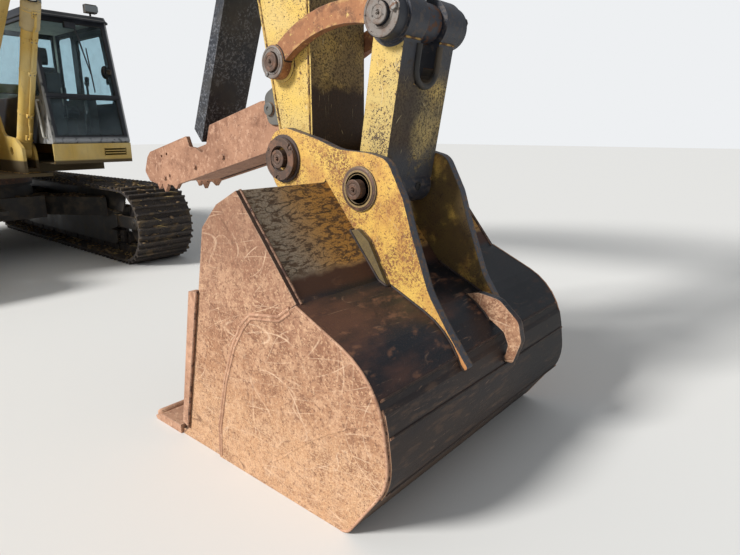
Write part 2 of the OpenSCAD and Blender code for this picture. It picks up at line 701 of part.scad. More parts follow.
module cab_roof() {
    z0 = cab_top - roof_h + seat;
    color(dark) in_row() slab(cab_y, half_w) polygon(rounded([
        [cab_rear - 15, z0, 0], [rake_x(z0) + 15, z0, 0], [rake_x(cab_top) - 30, cab_top, 40], [cab_rear + 20, cab_top, 40]]));
}
door_in = [
    [door_rear + door_gap, sill_z + door_gap, 30], [rake_x(sill_z) - 75 - door_gap, sill_z + door_gap, 30],
    [rake_x(head_z) - 75 - door_gap, head_z - door_gap, 50], [door_rear + door_gap, head_z - door_gap, 50]
];
door_window = [
    [door_rear + 75, sill_z + 420, 40], [rake_x(sill_z + 420) - 160, sill_z + 420, 40],
    [rake_x(head_z) - 150, head_z - 75, 50], [door_rear + 75, head_z - 75, 50]
];
hinge_x = door_rear;
hinge_zs = [sill_z + 180, head_z - 260];
module cab_door() {
    color("dimgray") in_row() {
        difference() {
            slab(half_w - cab_t, half_w) polygon(rounded(door_in));
            slab(half_w - cab_t - cut, half_w + cut) polygon(rounded(door_window));
        }
        for (z = hinge_zs) translate([hinge_x, half_w + hinge_out, z]) hinge_strap(1);
    }
}
module pane(y, t) {
    slab(y, y + glass_t) polygon(rounded(t));
}
function window_in(t, g) =
    let (k = len(t), c = [for (r = t) xz(r)],
        o = [for (i = [0:k - 1]) let (
            m = left_of(c[(i + k - 1) % k], c[i]), n = left_of(c[i], c[(i + 1) % k])) c[i] + g * (m + n) / (1 + m * n)])
    [for (i = [0:k - 1]) [o[i][0], o[i][1], t[i][2]]];
module door_glass() {
    color("lightblue", 0.5) in_row() pane(half_w - 26, window_in(door_window, seat));
}
module front_pane(z0, z1) {
    slab(cab_in_y[0] + 20 + seat, cab_in_y[1] - 20 - seat) polygon([
        [rake_x(z0) - 30, z0], [rake_x(z0) - 30 + glass_t, z0], [rake_x(z1) - 30 + glass_t, z1], [rake_x(z1) - 30, z1]]);
}
module cab_glass() {
    color("lightblue", 0.5) in_row() {
        front_pane(sill_z + 20 + seat, split_z - 25 - seat);
        front_pane(split_z + 25 + seat, head_z - seat);
        pane(cab_y + 20, window_in(side_window, seat));
        pane(half_w - 26, window_in(rear_side_window, seat));
        block([cab_rear + 20, cab_rear + 20 + glass_t], [cab_in_y[0] + 40 + seat, cab_in_y[1] - 40 - seat],
            [split_z + 100 + seat, head_z - seat]);
    }
}
floor_z = cab_z + 40 + seat;
seat_x = 330;
base_z = floor_z + 280;
lean = 0.17;
// Bracket that carries the backrest, from the seat's base up behind it
seat_arm = [
    [seat_x - 190 + cut, floor_z + 150], [seat_x - 190 + cut, floor_z + 190],
    [seat_x - 275, floor_z + 190], [seat_x - 345 - seat, floor_z + 600],
    [seat_x - 380, floor_z + 600], [seat_x - 300, floor_z + 150]
];
cab_mid = (cab_y + half_w) / 2;
module cab_interior() {
    color(dark) in_row() {
        block([seat_x - 190, seat_x + 190], [cab_mid - 200, cab_mid + 200], [floor_z, base_z]);
        slab(cab_mid - 60, cab_mid + 60) polygon(seat_arm);
        both_sides_of(cab_mid) {
            block([seat_x - 260, seat_x + 420], [cab_mid + 270, cab_mid + 385], [floor_z, floor_z + 520]);
            post(seat_x + 340, cab_mid + 325, floor_z + 520 - cut, floor_z + 730, 14);
            translate([seat_x + 340, cab_mid + 325, floor_z + 730]) sphere(r = 32);
        }
        for (y = [-110, 110]) {
            post(cab_front - 420, cab_mid + y, floor_z, floor_z + 560, 12);
            block([cab_front - 460, cab_front - 330], [cab_mid + y - 45, cab_mid + y + 45], [floor_z, floor_z + 60]);
        }
        block([cab_front - 250, cab_front - 190], [cab_y + cab_t + 40, cab_y + cab_t + 190], [floor_z, floor_z + 700]);
    }
}
module both_sides_of(y) {
    children();
    translate([0, 2 * y, 0]) mirror([0, 1, 0]) children();
}
cushion_side = [[seat_x - 180, base_z + seat, 30], [seat_x + 270, base_z + seat, 40],
    [seat_x + 280, base_z + 130, 60], [seat_x - 200, base_z + 110, 50]];
back_foot = [seat_x - 275 - lean * 130, floor_z + 320];
back_side = [back_foot, back_foot + [135, 0], back_foot + [135 - lean * 700, 700], back_foot + [-lean * 720, 720]];
module seat_cushions() {
    color("dimgray") in_row() {
        slab(cab_mid - 240, cab_mid + 240) polygon(rounded(cushion_side));
        slab(cab_mid - 220, cab_mid + 220) polygon(rounded([for (p = back_side) [p[0], p[1], 50]]));
    }
}

// Handrails, step and lamps
rail_r = 17;
rail_h = 600;
rail_x = [tank_front + 60, toolbox_front - 60];
module handrails() {
    y = -half_w + 60;
    color(yellow) in_row() {
        for (x = rail_x) post(x, y, box_top + seat, box_top + rail_h, rail_r);
        rod_x(rail_x[0] - rail_r, rail_x[1] + rail_r, y, box_top + rail_h, rail_r);
        rod_x(rail_x[0], rail_x[1], y, box_top + rail_h / 2, rail_r * 0.8);
    }
}
lamp_at = [[cab_front - cab_rake - 90, half_w - 140], [cab_front - cab_rake - 90, cab_y + 140], [toolbox_front - 200, -half_w + 300]];
lamp_foot = [cab_top, cab_top, box_top];
module work_lamps() {
    color(dark) in_row() for (i = [0:2]) translate([lamp_at[i][0], lamp_at[i][1], lamp_foot[i] + seat]) {
        post(0, 0, 0, 40, 12);
        block([-30, 50], [-70, 70], [38, 138]);
    }
}

// Boom
boom_side = [
    [0, -205, 0], [2520, 540, 1500], [boom_l - 60, -185, 60], [boom_l + 130, -60, 100], [boom_l + 80, 150, 100],
    [boom_l - 300, 250, 300], [2820, 1470, 1400], [300, 330, 700], [0, 205, 0]
];
fork_r = 620;
ram_bracket = [
    [3000, 1290, 0], [3640, 1060, 0], [3470, 1380, 60], [3465, 1540, 90], [3350, 1645, 90], [3235, 1560, 90]
];
ram_boss_r = 110;
bracket_y = [arm_ram[4] / 2 + 8, arm_ram[4] / 2 + 48];
module boom() {
    color(yellow) boom_place() difference() {
        union() {
            slab(-boom_w / 2, boom_w / 2) polygon(rounded(boom_side, 6));
            peg([boom_l, 0], 190, -boom_w / 2 - 12, boom_w / 2 + 12);
            peg(ram_head_at, ram_boss_r, -ram_y + boom_ram[4] / 2 + 8, ram_y - boom_ram[4] / 2 - 8);
            both_sides() slab(bracket_y[0], bracket_y[1]) polygon(rounded(ram_bracket));
        }
        peg([boom_l, 0], fork_r, -arm_w / 2 - fork_gap, arm_w / 2 + fork_gap);
        hole([0, 0], big_pin_r, boom_w);
        hole([boom_l, 0], big_pin_r, boom_w);
        hole(arm_ram_foot_at, arm_ram[2], boom_w);
    }
}
module boom_pins() {
    color(steel) boom_place() {
        peg([boom_l, 0], big_pin_r, -boom_w / 2 - 45, boom_w / 2 + 45);
        peg(arm_ram_foot_at, arm_ram[2], -bracket_y[1] - 18, bracket_y[1] + 18);
    }
}
pipe_r = 17;
pipe_x = [350, 2750];
pipe_step = 650;
boom_top_a = heading(xz(boom_side[5]) - xz(boom_side[6]));
// Pipes in clamps on the boom's top face, beyond its bend
module boom_pipes() {
    color(dark) boom_place() on(xz(boom_side[6]), boom_top_a) both_sides() {
        for (y = [140, 190]) rod_x(pipe_x[0], pipe_x[1], y, 45, pipe_r);
        for (x = [pipe_x[0] + 120:pipe_step:pipe_x[1]]) block([x, x + 50], [120, 210], [seat, 72]);
    }
}
module boom_barrels() color(yellow) in_row() both_sides() translate([0, ram_y, 0])
    on(ram_foot, heading(ram_head - ram_foot)) barrel(boom_ram);
module boom_rods() color(steel) in_row() both_sides() translate([0, ram_y, 0])
    on(ram_foot, heading(ram_head - ram_foot)) rod(boom_ram, norm(ram_head - ram_foot), boom_ram[4] / 2 + 4);
module arm_barrel() color(yellow) in_row() on(arm_ram_foot, heading(arm_ram_head - arm_ram_foot)) barrel(arm_ram);
module arm_rod() color(steel) in_row() on(arm_ram_foot, heading(arm_ram_head - arm_ram_foot))
    rod(arm_ram, norm(arm_ram_head - arm_ram_foot), arm_ram[4] / 2 + 4);
module bucket_barrel() color(yellow) in_row() on(bucket_ram_foot, heading(rod_pin - bucket_ram_foot))
    barrel(bucket_ram);
module bucket_rod() color(steel) in_row() on(bucket_ram_foot, heading(rod_pin - bucket_ram_foot))
    rod(bucket_ram, norm(rod_pin - bucket_ram_foot), bucket_ram[4] / 2 + 3);

// Arm
arm_side = [
    [arm_l - 40, -78, 60], [60, -258, 600], [-420, -90, 500], [-1010, 270, 110], [-900, 520, 110],
    [-250, 640, 300], [500, 535, 300], [arm_l - 40, 155, 90], [arm_l + 90, 60, 90]
];
arm_lug = [[150, 560, 0], [640, 480, 0], [560, 620, 40], [558, 745, 90], [450, 825, 90], [335, 745, 90]];
head_slot_r = 330;
foot_lug_y = [bucket_ram[4] / 2 + 8, bucket_ram[4] / 2 + 46];
thumb_back = 279;
thumb_pin_at = [arm_l - thumb_back, -152];
module arm() {
    color(yellow) arm_place() difference() {
        union() {
            slab(-arm_w / 2, arm_w / 2) polygon(rounded(arm_side, 5));
            peg([arm_l, 0], 112, -arm_w / 2, arm_w / 2);
            both_sides() slab(foot_lug_y[0], foot_lug_y[1]) polygon(rounded(arm_lug));
            peg(thumb_pin_at, 76, -thumb_y + thumb_t + seat, thumb_y - thumb_t - seat);
        }
        peg(arm_ram_head_at, head_slot_r, -arm_ram[4] / 2 - 10, arm_ram[4] / 2 + 10);
        hole([0, 0], big_pin_r, boom_w);
        hole([arm_l, 0], pin_r, boom_w);
        hole(idler_pin_at, pin_r, boom_w);
        hole(bucket_ram_foot_at, bucket_ram[2], boom_w);
        hole(arm_ram_head_at, arm_ram[2], boom_w);
    }
}
idler_y = [arm_w / 2 + 10, arm_w / 2 + 10 + idler_t];
module arm_pins() {
    color(steel) arm_place() {
        peg(idler_pin_at, pin_r, -idler_y[1] - 22, idler_y[1] + 22);
        peg(bucket_ram_foot_at, bucket_ram[2], -foot_lug_y[1] - 15, foot_lug_y[1] + 15);
        both_sides() peg(arm_ram_head_at, arm_ram[2], arm_ram[4] / 2 + 12, arm_w / 2 + 15);
    }
}
// Thumb: fixed under the arm, its length runs away from the arm. Table: [along, down, corner radius]
thumb_a = arm_a + 275.7;
thumb_plate = [
    [-40, -40, 30], [80, -65, 60], [600, -64, 20], [690, 62, 12], [740, 74, 8], [800, 30, 8], [858, 10, 8],
    [872, -62, 10], [1360, -68, 30], [1410, -42, 20], [1480, 44, 20], [1442, 122, 10], [1352, 160, 0],
    [1340, 200, 0], [1290, 178, 0], [1268, 232, 0], [1215, 190, 0], [1160, 204, 0], [1124, 238, 0], [1080, 212, 20],
    [560, 211, 20], [110, 211, 60], [-30, 110, 40]
];
thumb_t = 26;
thumb_y = 172;
thumb_pin_r = 36;
module thumb_plates() {
    color(rust) arm_place() translate([thumb_pin_at[0], 0, thumb_pin_at[1]]) rotate([0, -275.7, 0]) {
        both_sides() difference() {
            slab(thumb_y - thumb_t, thumb_y) polygon(rounded(thumb_plate, 3));
            for (p = [[524, 147], [842, 144], [1152, -7], [1221, -8], [1232, 141], [1169, 139]])
                peg(p, 10, 0, thumb_y + 10);
        }
        slab(-thumb_y + thumb_t / 2, thumb_y - thumb_t / 2) polygon([[180, 175], [1050, 175], [1050, 200], [180, 200]]);
        both_sides() peg([0, 0], thumb_pin_r, thumb_y - thumb_t, thumb_y + 22);
    }
}
function arm_under(x) = let (a = arm_side[0], b = arm_side[1])
    [x, a[1] + (b[1] - a[1]) * (x - a[0]) / (b[0] - a[0]) - seat];
// Ends of the brace, back from the bucket pin along the arm
brace_foot = [[arm_l - 290, -960], [arm_l - 200, -900]];
brace_head = [arm_l - 1450, arm_l - 1550];
module thumb_brace() {
    w = thumb_y - thumb_t - seat;
    color("midnightblue") arm_place() slab(-w, w) polygon([brace_foot[0], brace_foot[1],
        arm_under(brace_head[0]), arm_under(brace_head[1])]);
}

// Idler links: a bowed bar between its pins
idler_rise = 95;
idler_h = 100;
idler_arc_r = (idler_l * idler_l / 4 + idler_rise * idler_rise) / (2 * idler_rise);
module idler_bar() {
    half = asin(idler_l / 2 / idler_arc_r);
    c = [idler_l / 2, idler_rise - idler_arc_r];
    polygon(concat(arc(c, idler_arc_r + idler_h / 2, 90 + half, 90 - half, 10),
        arc(c, idler_arc_r - idler_h / 2, 90 - half, 90 + half, 10)));
}
link_half = 195;
module idler_links() {
    color(rust) in_row() on(idler_pin, heading(rod_pin - idler_pin)) {
        difference() {
            union() {
                both_sides() slab(idler_y[0], idler_y[1]) idler_bar();
                both_sides() peg([0, 0], 82, idler_y[0], idler_y[1] + 8);
                both_sides() peg([idler_l, 0], 98, idler_y[0], idler_y[1] + 8);
            }
            hole([0, 0], pin_r, boom_w);
        }
        both_sides() peg([idler_l, 0], pin_r, bucket_ram[4] / 2 + 8, idler_y[1] + 30);
    }
}

// Bucket link, drawn from the link pin to the rod pin
link_side = [[-20, -80, 40], [link_l + 10, -85, 60], [link_l + 40, 60, 60], [link_l - 60, 88, 60], [0, 85, 60]];
link_slot = [[link_l - 260, -200, 0], [link_l + 200, -200, 0], [link_l + 200, 200, 0], [link_l - 260, 200, 0]];
module bucket_link() {
    color(yellow) in_row() on(link_pin, heading(rod_pin - link_pin)) difference() {
        union() {
            slab(-link_half, link_half) polygon(rounded(link_side));
            peg([0, 0], 92, -link_half + 5, link_half - 5);
            peg([link_l, 0], 112, -link_half - 8, link_half + 8);
        }
        slab(-bucket_ram[4] / 2 - 8, bucket_ram[4] / 2 + 8) polygon(rounded(link_slot));
        hole([link_l, 0], pin_r, boom_w);
        hole([0, 0], pin_r, boom_w);
    }
}

// Bucket, in the same side view as its shell
mouth_line = [[-786, 1287, 30], [-907, 1172, 30], [-979, 853, 0], [-1165, 60, 0], [mouth_x, 0, 0]];
side_outline = concat(shell_path, [for (r = mouth_line) xz(r)]);
// Wear plates: over the lower part of each side, and round the back below the eye
side_wear = concat([for (p = shell_path) if (p[0] > -900 && p[1] < 930) p], [
    [-392, 856], [-476, 842], [-579, 825], [-648, 763], [-719, 649], [-802, 450], [-874, 185], [-890, 0]
]);
back_wear = concat([for (p = shell_path) if (p[0] > 60 && p[1] < 600) p], [[111, 646]]);
eye_y = [95, 135];
module bucket_shell() {
    color(rust) heel_place() {
        slab(-bucket_w / 2 + 5, bucket_w / 2 - 5) polygon(band(shell_path, shell_t));
        both_sides() slab(bucket_w / 2 - side_t, bucket_w / 2) polygon(side_outline);
        both_sides() slab(bucket_w / 2 - cut, bucket_w / 2 + wear_t) polygon(side_wear);
        slab(-bucket_w / 2 + 5, bucket_w / 2 - 5) polygon(band(beside(back_wear, -wear_t), wear_t + cut));
        slab(eye_y[0], eye_y[1]) polygon(eye_outline);
    }
}
cutter_line = [[-979, 853, 0], [-1053, 843, 20], [-1218, 76, 10], [-1165, 60, 0]];
lip_line = [[mouth_x - seat, 0, 0], [mouth_x - seat, lip_t, 0], [mouth_x - 190, lip_t, 60],
    [mouth_x - 268, 18, 16], [mouth_x - 250, 0, 8]];
cutter_t = 42;
module bucket_cutters() {
    color(rust) heel_place() {
        slab(-bucket_w / 2 - 12, bucket_w / 2 + 12) polygon(rounded(lip_line));
        both_sides() slab(bucket_w / 2 - side_t - 8, bucket_w / 2 - side_t - 8 + cutter_t) polygon([
            [-979 - seat, 853], [-1053, 843], [-1218, lip_t + 30], [-1165 - seat, lip_t + 15]]);
    }
}
ear_y = [arm_w / 2 + ear_gap, arm_w / 2 + ear_gap + ear_t];
// Ears: upper edge from the bucket pin over the link pin to the tip, then back along the shell
ear_side = [
    [-1040, 1590, 90], [-930, 1618, 60], [-700, 1562, 300], [-560, 1515, 300], [-370, 1503, 200], [-262, 1478, 90],
    [-170, 1310, 120], [-120, 1160, 300], [-20, 900, 300], [90, 740, 0], [200, 600, 15], [165, 590, 0],
    [60, 700, 0], [-150, 800, 0], [-281, 900, 0], [-637, 1340, 0], [-700, 1322, 0],
    [-1003, 1290, 80], [-1060, 1400, 90]
];
// Gusset on the outer side of each ear, where it stands on the shell
gusset = [[-470, 1140, 0], [-410, 1150, 30], [-345, 1100, 20], [-200, 845, 10], [-240, 840, 0], [-300, 920, 0]];
gusset_t = 28;
ring_in = pin_r + 18;
// The shell with g round it, and a pocket for the end of its plate
module shell_room(g) {
    polygon(beside(shell_path, -g));
    k = len(shell_path) - 1;
    end = [shell_path[k - 1], shell_path[k] + 10 * unit(shell_path[k] - shell_path[k - 1])];
    polygon(band(beside(end, -g), shell_t + 2 * g));
    polygon(beside(back_wear, -wear_t - g));
}
module bucket_ears() {
    w = [bucket_pin[0] - heel[0], pin_h];
    l = link_pin - heel;
    color(yellow) heel_place() difference() {
        union() {
            both_sides() slab(ear_y[0], ear_y[1]) polygon(rounded(ear_side));
            both_sides() slab(ear_y[1] - cut, ear_y[1] + gusset_t) polygon(rounded(gusset));
            both_sides() peg(w, 122, ear_y[0], ear_y[1] + 8);
            both_sides() peg(w, 110, ear_y[0], ear_y[1] + 28);
            both_sides() peg(l, 105, ear_y[0], ear_y[1] + 8);
            both_sides() peg(l, 88, ear_y[0], ear_y[1] + 14);
        }
        both_sides() peg(w, ring_in, ear_y[1] - 6, ear_y[1] + 60);
        both_sides() peg(l, ring_in + 4, ear_y[1] - 16, ear_y[1] + 60);
        hole(w, pin_r, boom_w);
        hole(l, pin_r, boom_w);
        slab(-bucket_w / 2, bucket_w / 2) shell_room(seat);
    }
}
module bucket_pins() {
    w = [bucket_pin[0] - heel[0], pin_h];
    l = link_pin - heel;
    color(steel) heel_place() {
        peg(w, pin_r, -ear_y[1] - 45, ear_y[1] + 45);
        both_sides() peg(l, pin_r, ear_y[0], ear_y[1] + 45);
    }
}

car_body();
slew_ring();
track_frames();
track_left();
track_right();
track_wheels();
revolving_frame();
counterweight();
engine_block();
engine_housing();
engine_hood();
radiator_door();
pump_door();
tanks();
exhaust();
handrails();
work_lamps();
cab_shell();
cab_roof();
cab_door();
door_glass();
cab_glass();
cab_interior();
seat_cushions();
upper_pins();
boom();
boom_pins();
boom_pipes();
boom_barrels();
boom_rods();
arm_barrel();
arm_rod();
arm();
arm_pins();
bucket_barrel();
bucket_rod();
thumb_plates();
thumb_brace();
idler_links();
bucket_link();
bucket_shell();
bucket_ears();
bucket_cutters();
bucket_pins();
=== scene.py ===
import itertools
import json
import math

import bmesh
import bpy
from bpy.props import FloatProperty, PointerProperty, StringProperty
from mathutils import Matrix, Vector, noise
from mathutils.bvhtree import BVHTree


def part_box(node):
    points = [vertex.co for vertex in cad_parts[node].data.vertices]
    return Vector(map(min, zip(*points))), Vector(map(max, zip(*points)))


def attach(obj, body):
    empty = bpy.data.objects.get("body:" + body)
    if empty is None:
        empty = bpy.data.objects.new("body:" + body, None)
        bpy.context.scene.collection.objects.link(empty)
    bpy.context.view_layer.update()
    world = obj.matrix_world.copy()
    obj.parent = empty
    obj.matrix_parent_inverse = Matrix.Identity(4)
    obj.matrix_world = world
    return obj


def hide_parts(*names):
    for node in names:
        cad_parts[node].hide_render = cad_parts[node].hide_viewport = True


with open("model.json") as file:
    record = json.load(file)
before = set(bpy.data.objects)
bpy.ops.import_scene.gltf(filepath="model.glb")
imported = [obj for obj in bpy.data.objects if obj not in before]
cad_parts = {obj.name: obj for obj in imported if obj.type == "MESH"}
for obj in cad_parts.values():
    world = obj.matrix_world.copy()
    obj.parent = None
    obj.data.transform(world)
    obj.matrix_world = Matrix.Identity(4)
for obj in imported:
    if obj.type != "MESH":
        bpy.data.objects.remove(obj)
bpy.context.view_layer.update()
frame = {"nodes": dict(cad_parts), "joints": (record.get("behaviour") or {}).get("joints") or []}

bl_info = {
    "name": "Crawler excavator looks",
    "version": (1, 0, 0),
    "blender": (4, 5, 0),
    "location": "3D View > Sidebar > Excavator",
    "description": "Dresses the excavator's solids with paint, rust, welds, bolts and trim",
    "category": "Object",
}

NODES = frame["nodes"]
JOINTS = {joint["name"]: joint for joint in frame["joints"]}
MM = 0.001
CORNER = math.radians(35)             # edges that turn further than this count as corners


# Places

def pin_place(joint):
    """Where a joint's axis crosses the centre plane, in metres."""
    x, _, z = JOINTS[joint]["pos_m"]
    return Vector((x, 0, z))


def frame_at(origin, toward=Vector((1, 0, 0))):
    """The matrix from a part's own frame, in millimetres, to the machine's, in metres. In the part's own, X
    runs toward its next pin and Y to the left."""
    x = Vector((toward.x, 0, toward.z)).normalized()
    turn = Matrix(((x.x, 0, -x.z), (0, 1, 0), (x.z, 0, x.x))).to_4x4()
    return Matrix.Translation(origin) @ turn @ Matrix.Scale(MM, 4)


HEEL_AHEAD = 0.944                    # from the bucket pin ahead to the bucket's heel, in metres
LINK_REACH = 0.536                    # from the bucket pin to the link pin, in metres
LINK_FALL = math.radians(13.2)        # of the line between these two pins
BUCKET_PIN = pin_place("bucket_curl")
IDLER_PIN = pin_place("idler_pivot")
ROD_PIN = pin_place("link_pivot")
ARM_PIN = pin_place("arm_swing")
BOOM_FOOT = pin_place("boom_swing")
SLEWING = Vector((pin_place("slew").x, 0, 0))
HEEL_X = BUCKET_PIN.x + HEEL_AHEAD
LINK_PIN = BUCKET_PIN + LINK_REACH * Vector((math.cos(LINK_FALL), 0, -math.sin(LINK_FALL)))
MACHINE = frame_at(SLEWING)
BOOM = frame_at(BOOM_FOOT, ARM_PIN - BOOM_FOOT)
ARM = frame_at(ARM_PIN, BUCKET_PIN - ARM_PIN)
IDLER = frame_at(IDLER_PIN, ROD_PIN - IDLER_PIN)
LINK = frame_at(LINK_PIN, ROD_PIN - LINK_PIN)
BUCKET = frame_at(Vector((HEEL_X, 0, 0)))


# Materials

def linear(hex_colour):
    """An sRGB hex colour as linear red, green, blue and alpha."""
    channels = [int(hex_colour[i:i + 2], 16) / 255 for i in (1, 3, 5)]
    return [c / 12.92 if c <= 0.04045 else ((c + 0.055) / 1.055) ** 2.4 for c in channels] + [1.0]


def add(tree, kind, inputs=None, **settings):
    """Adds a node. Inputs are set by name or number, to a value, another node's output or a node, which
    stands for its first output."""
    node = tree.nodes.new(kind)
    for name, value in settings.items():
        setattr(node, name, value)
    for key, value in (inputs or {}).items():
        source = value.outputs[0] if isinstance(value, bpy.types.Node) else value
        if isinstance(source, bpy.types.NodeSocket):
            tree.links.new(source, node.inputs[key])
        else:
            node.inputs[key].default_value = source
    return node


class Surface:
    """A material built up in layers, from what lies deepest to what lies on top."""

    def __init__(self, name, colour, roughness, metallic=0.0):
        self.material = bpy.data.materials.new(name)
        self.material.use_nodes = True
        self.tree = self.material.node_tree
        self.tree.nodes.clear()
        self.place = add(self.tree, "ShaderNodeTexCoord").outputs["Object"]
        self.geometry = add(self.tree, "ShaderNodeNewGeometry")
        self.normal = add(self.tree, "ShaderNodeSeparateXYZ", {0: self.geometry.outputs["Normal"]})
        self.spot = add(self.tree, "ShaderNodeSeparateXYZ", {0: self.place})
        self.colour = linear(colour)
        self.roughness = roughness
        self.metallic = metallic
        self.height = 0.0

    def patches(self, size_mm, low, high, detail=5.0, stretch=(1, 1, 1), turn=(0, 0, 0), rough=0.6,
                lean=None, by=0.1):
        """Irregular patches of about size_mm, drawn out by stretch, that crowd where lean is 1."""
        place = add(self.tree, "ShaderNodeMapping", {
            "Vector": self.place, "Rotation": turn, "Scale": stretch})
        grain = add(self.tree, "ShaderNodeTexNoise", {
            "Vector": place, "Scale": 1.0 / (size_mm * MM), "Detail": detail, "Roughness": rough})
        if lean is not None:
            grain = add(self.tree, "ShaderNodeMath", {0: lean, 1: by, 2: grain}, operation="MULTIPLY_ADD")
        return add(self.tree, "ShaderNodeMapRange", {0: grain, 1: low, 2: high},
                   interpolation_type="SMOOTHSTEP")

    def hairlines(self, size_mm, spacing, width, stretch=(1, 1, 1), turn=(0, 0, 0)):
        """Long curved scratches: the contour lines of a smooth noise."""
        place = add(self.tree, "ShaderNodeMapping", {
            "Vector": self.place, "Rotation": turn, "Scale": stretch})
        swell = add(self.tree, "ShaderNodeTexNoise", {
            "Vector": place, "Scale": 1.0 / (size_mm * MM), "Detail": 1.0, "Roughness": 0.45})
        wave = add(self.tree, "ShaderNodeMath", {0: swell, 1: spacing}, operation="PINGPONG")
        return add(self.tree, "ShaderNodeMapRange", {0: wave, 1: width, 2: 0.0},
                   interpolation_type="SMOOTHSTEP")

    def edges(self, width_mm, low=0.05, high=0.35):
        """1 on sharp edges, over about width_mm on both sides."""
        soft = add(self.tree, "ShaderNodeBevel", {"Radius": width_mm * MM}, samples=4)
        dot = add(self.tree, "ShaderNodeVectorMath", {0: soft, 1: self.geometry.outputs["Normal"]},
                  operation="DOT_PRODUCT")
        return add(self.tree, "ShaderNodeMapRange", {0: dot.outputs["Value"], 1: 1.0 - low, 2: 1.0 - high},
                   interpolation_type="SMOOTHSTEP")

    def facing(self, axis, low, high):
        """1 where the surface faces along X, Y or Z (0, 1 or 2), by the normal's share on it."""
        return add(self.tree, "ShaderNodeMapRange", {0: self.normal.outputs[axis], 1: low, 2: high},
                   interpolation_type="SMOOTHSTEP")

    def sideways(self, low=0.6, high=0.8):
        """1 on faces that look to the left or to the right."""
        share = add(self.tree, "ShaderNodeMath", {0: self.normal.outputs[1]}, operation="ABSOLUTE")
        return add(self.tree, "ShaderNodeMapRange", {0: share, 1: low, 2: high},
                   interpolation_type="SMOOTHSTEP")

    def aside(self, low_mm, high_mm):
        """By the distance from the centre plane."""
        off = add(self.tree, "ShaderNodeMath", {0: self.spot.outputs[1]}, operation="ABSOLUTE")
        return add(self.tree, "ShaderNodeMapRange", {0: off, 1: low_mm * MM, 2: high_mm * MM},
                   interpolation_type="SMOOTHSTEP")

    def near(self, centre, low_mm, high_mm):
        """By the distance from a pin's axis, which runs along Y."""
        flat = add(self.tree, "ShaderNodeVectorMath", {0: self.place, 1: (1, 0, 1)}, operation="MULTIPLY")
        far = add(self.tree, "ShaderNodeVectorMath", {0: flat, 1: (centre.x, 0, centre.z)},
                  operation="DISTANCE")
        return add(self.tree, "ShaderNodeMapRange", {
            0: far.outputs["Value"], 1: low_mm * MM, 2: high_mm * MM}, interpolation_type="SMOOTHSTEP")

    def placed(self, axis, low, high, waver_mm=0.0, size_mm=120):
        """By the place along X, Y or Z in metres, with a ragged border where waver_mm is given."""
        value = self.spot.outputs[axis]
        if waver_mm:
            grain = add(self.tree, "ShaderNodeTexNoise", {
                "Vector": self.place, "Scale": 1.0 / (size_mm * MM), "Detail": 6.0, "Roughness": 0.65})
            value = add(self.tree, "ShaderNodeMath", {0: grain, 1: 2 * waver_mm * MM, 2: value},
                        operation="MULTIPLY_ADD")
        return add(self.tree, "ShaderNodeMapRange", {
            0: value, 1: low + waver_mm * MM, 2: high + waver_mm * MM}, interpolation_type="SMOOTHSTEP")

    def lay(self, masks, colour, roughness=None, metallic=None, height=None):
        """Lays a colour over what is there, where all masks are 1."""
        masks = masks if isinstance(masks, (list, tuple)) else [masks]
        mask = masks[0]
        for other in masks[1:]:
            mask = add(self.tree, "ShaderNodeMath", {0: mask, 1: other}, operation="MULTIPLY")
        self.colour = add(self.tree, "ShaderNodeMix", {0: mask, 6: self.colour, 7: linear(colour)},
                          data_type="RGBA").outputs[2]
        for what, value in (("roughness", roughness), ("metallic", metallic), ("height", height)):
            if value is not None:
                setattr(self, what, add(self.tree, "ShaderNodeMix", {
                    0: mask, 2: getattr(self, what), 3: value}))

    def done(self, bump_mm=0.4, grain_mm=3.0, round_mm=0.0, step_mm=1.5, **shader_inputs):
        """Closes the material with its fine grain and its height steps."""
        grain = add(self.tree, "ShaderNodeTexNoise", {
            "Vector": self.place, "Scale": 1.0 / (grain_mm * MM), "Detail": 3.0})
        inputs = {"Height": grain, "Distance": bump_mm * MM, "Strength": 0.35}
        if round_mm:
            inputs["Normal"] = add(self.tree, "ShaderNodeBevel", {"Radius": round_mm * MM}, samples=4)
        bump = add(self.tree, "ShaderNodeBump", inputs)
        if isinstance(self.height, bpy.types.Node):
            bump = add(self.tree, "ShaderNodeBump", {
                "Height": self.height, "Distance": step_mm * MM, "Strength": 0.6, "Normal": bump})
        shader = add(self.tree, "ShaderNodeBsdfPrincipled", {
            "Base Color": self.colour, "Roughness": self.roughness, "Metallic": self.metallic,
            "Normal": bump})
        for name, value in shader_inputs.items():
            shader.inputs[name.replace("_", " ")].default_value = value
        add(self.tree, "ShaderNodeOutputMaterial", {0: shader})
        return self.material


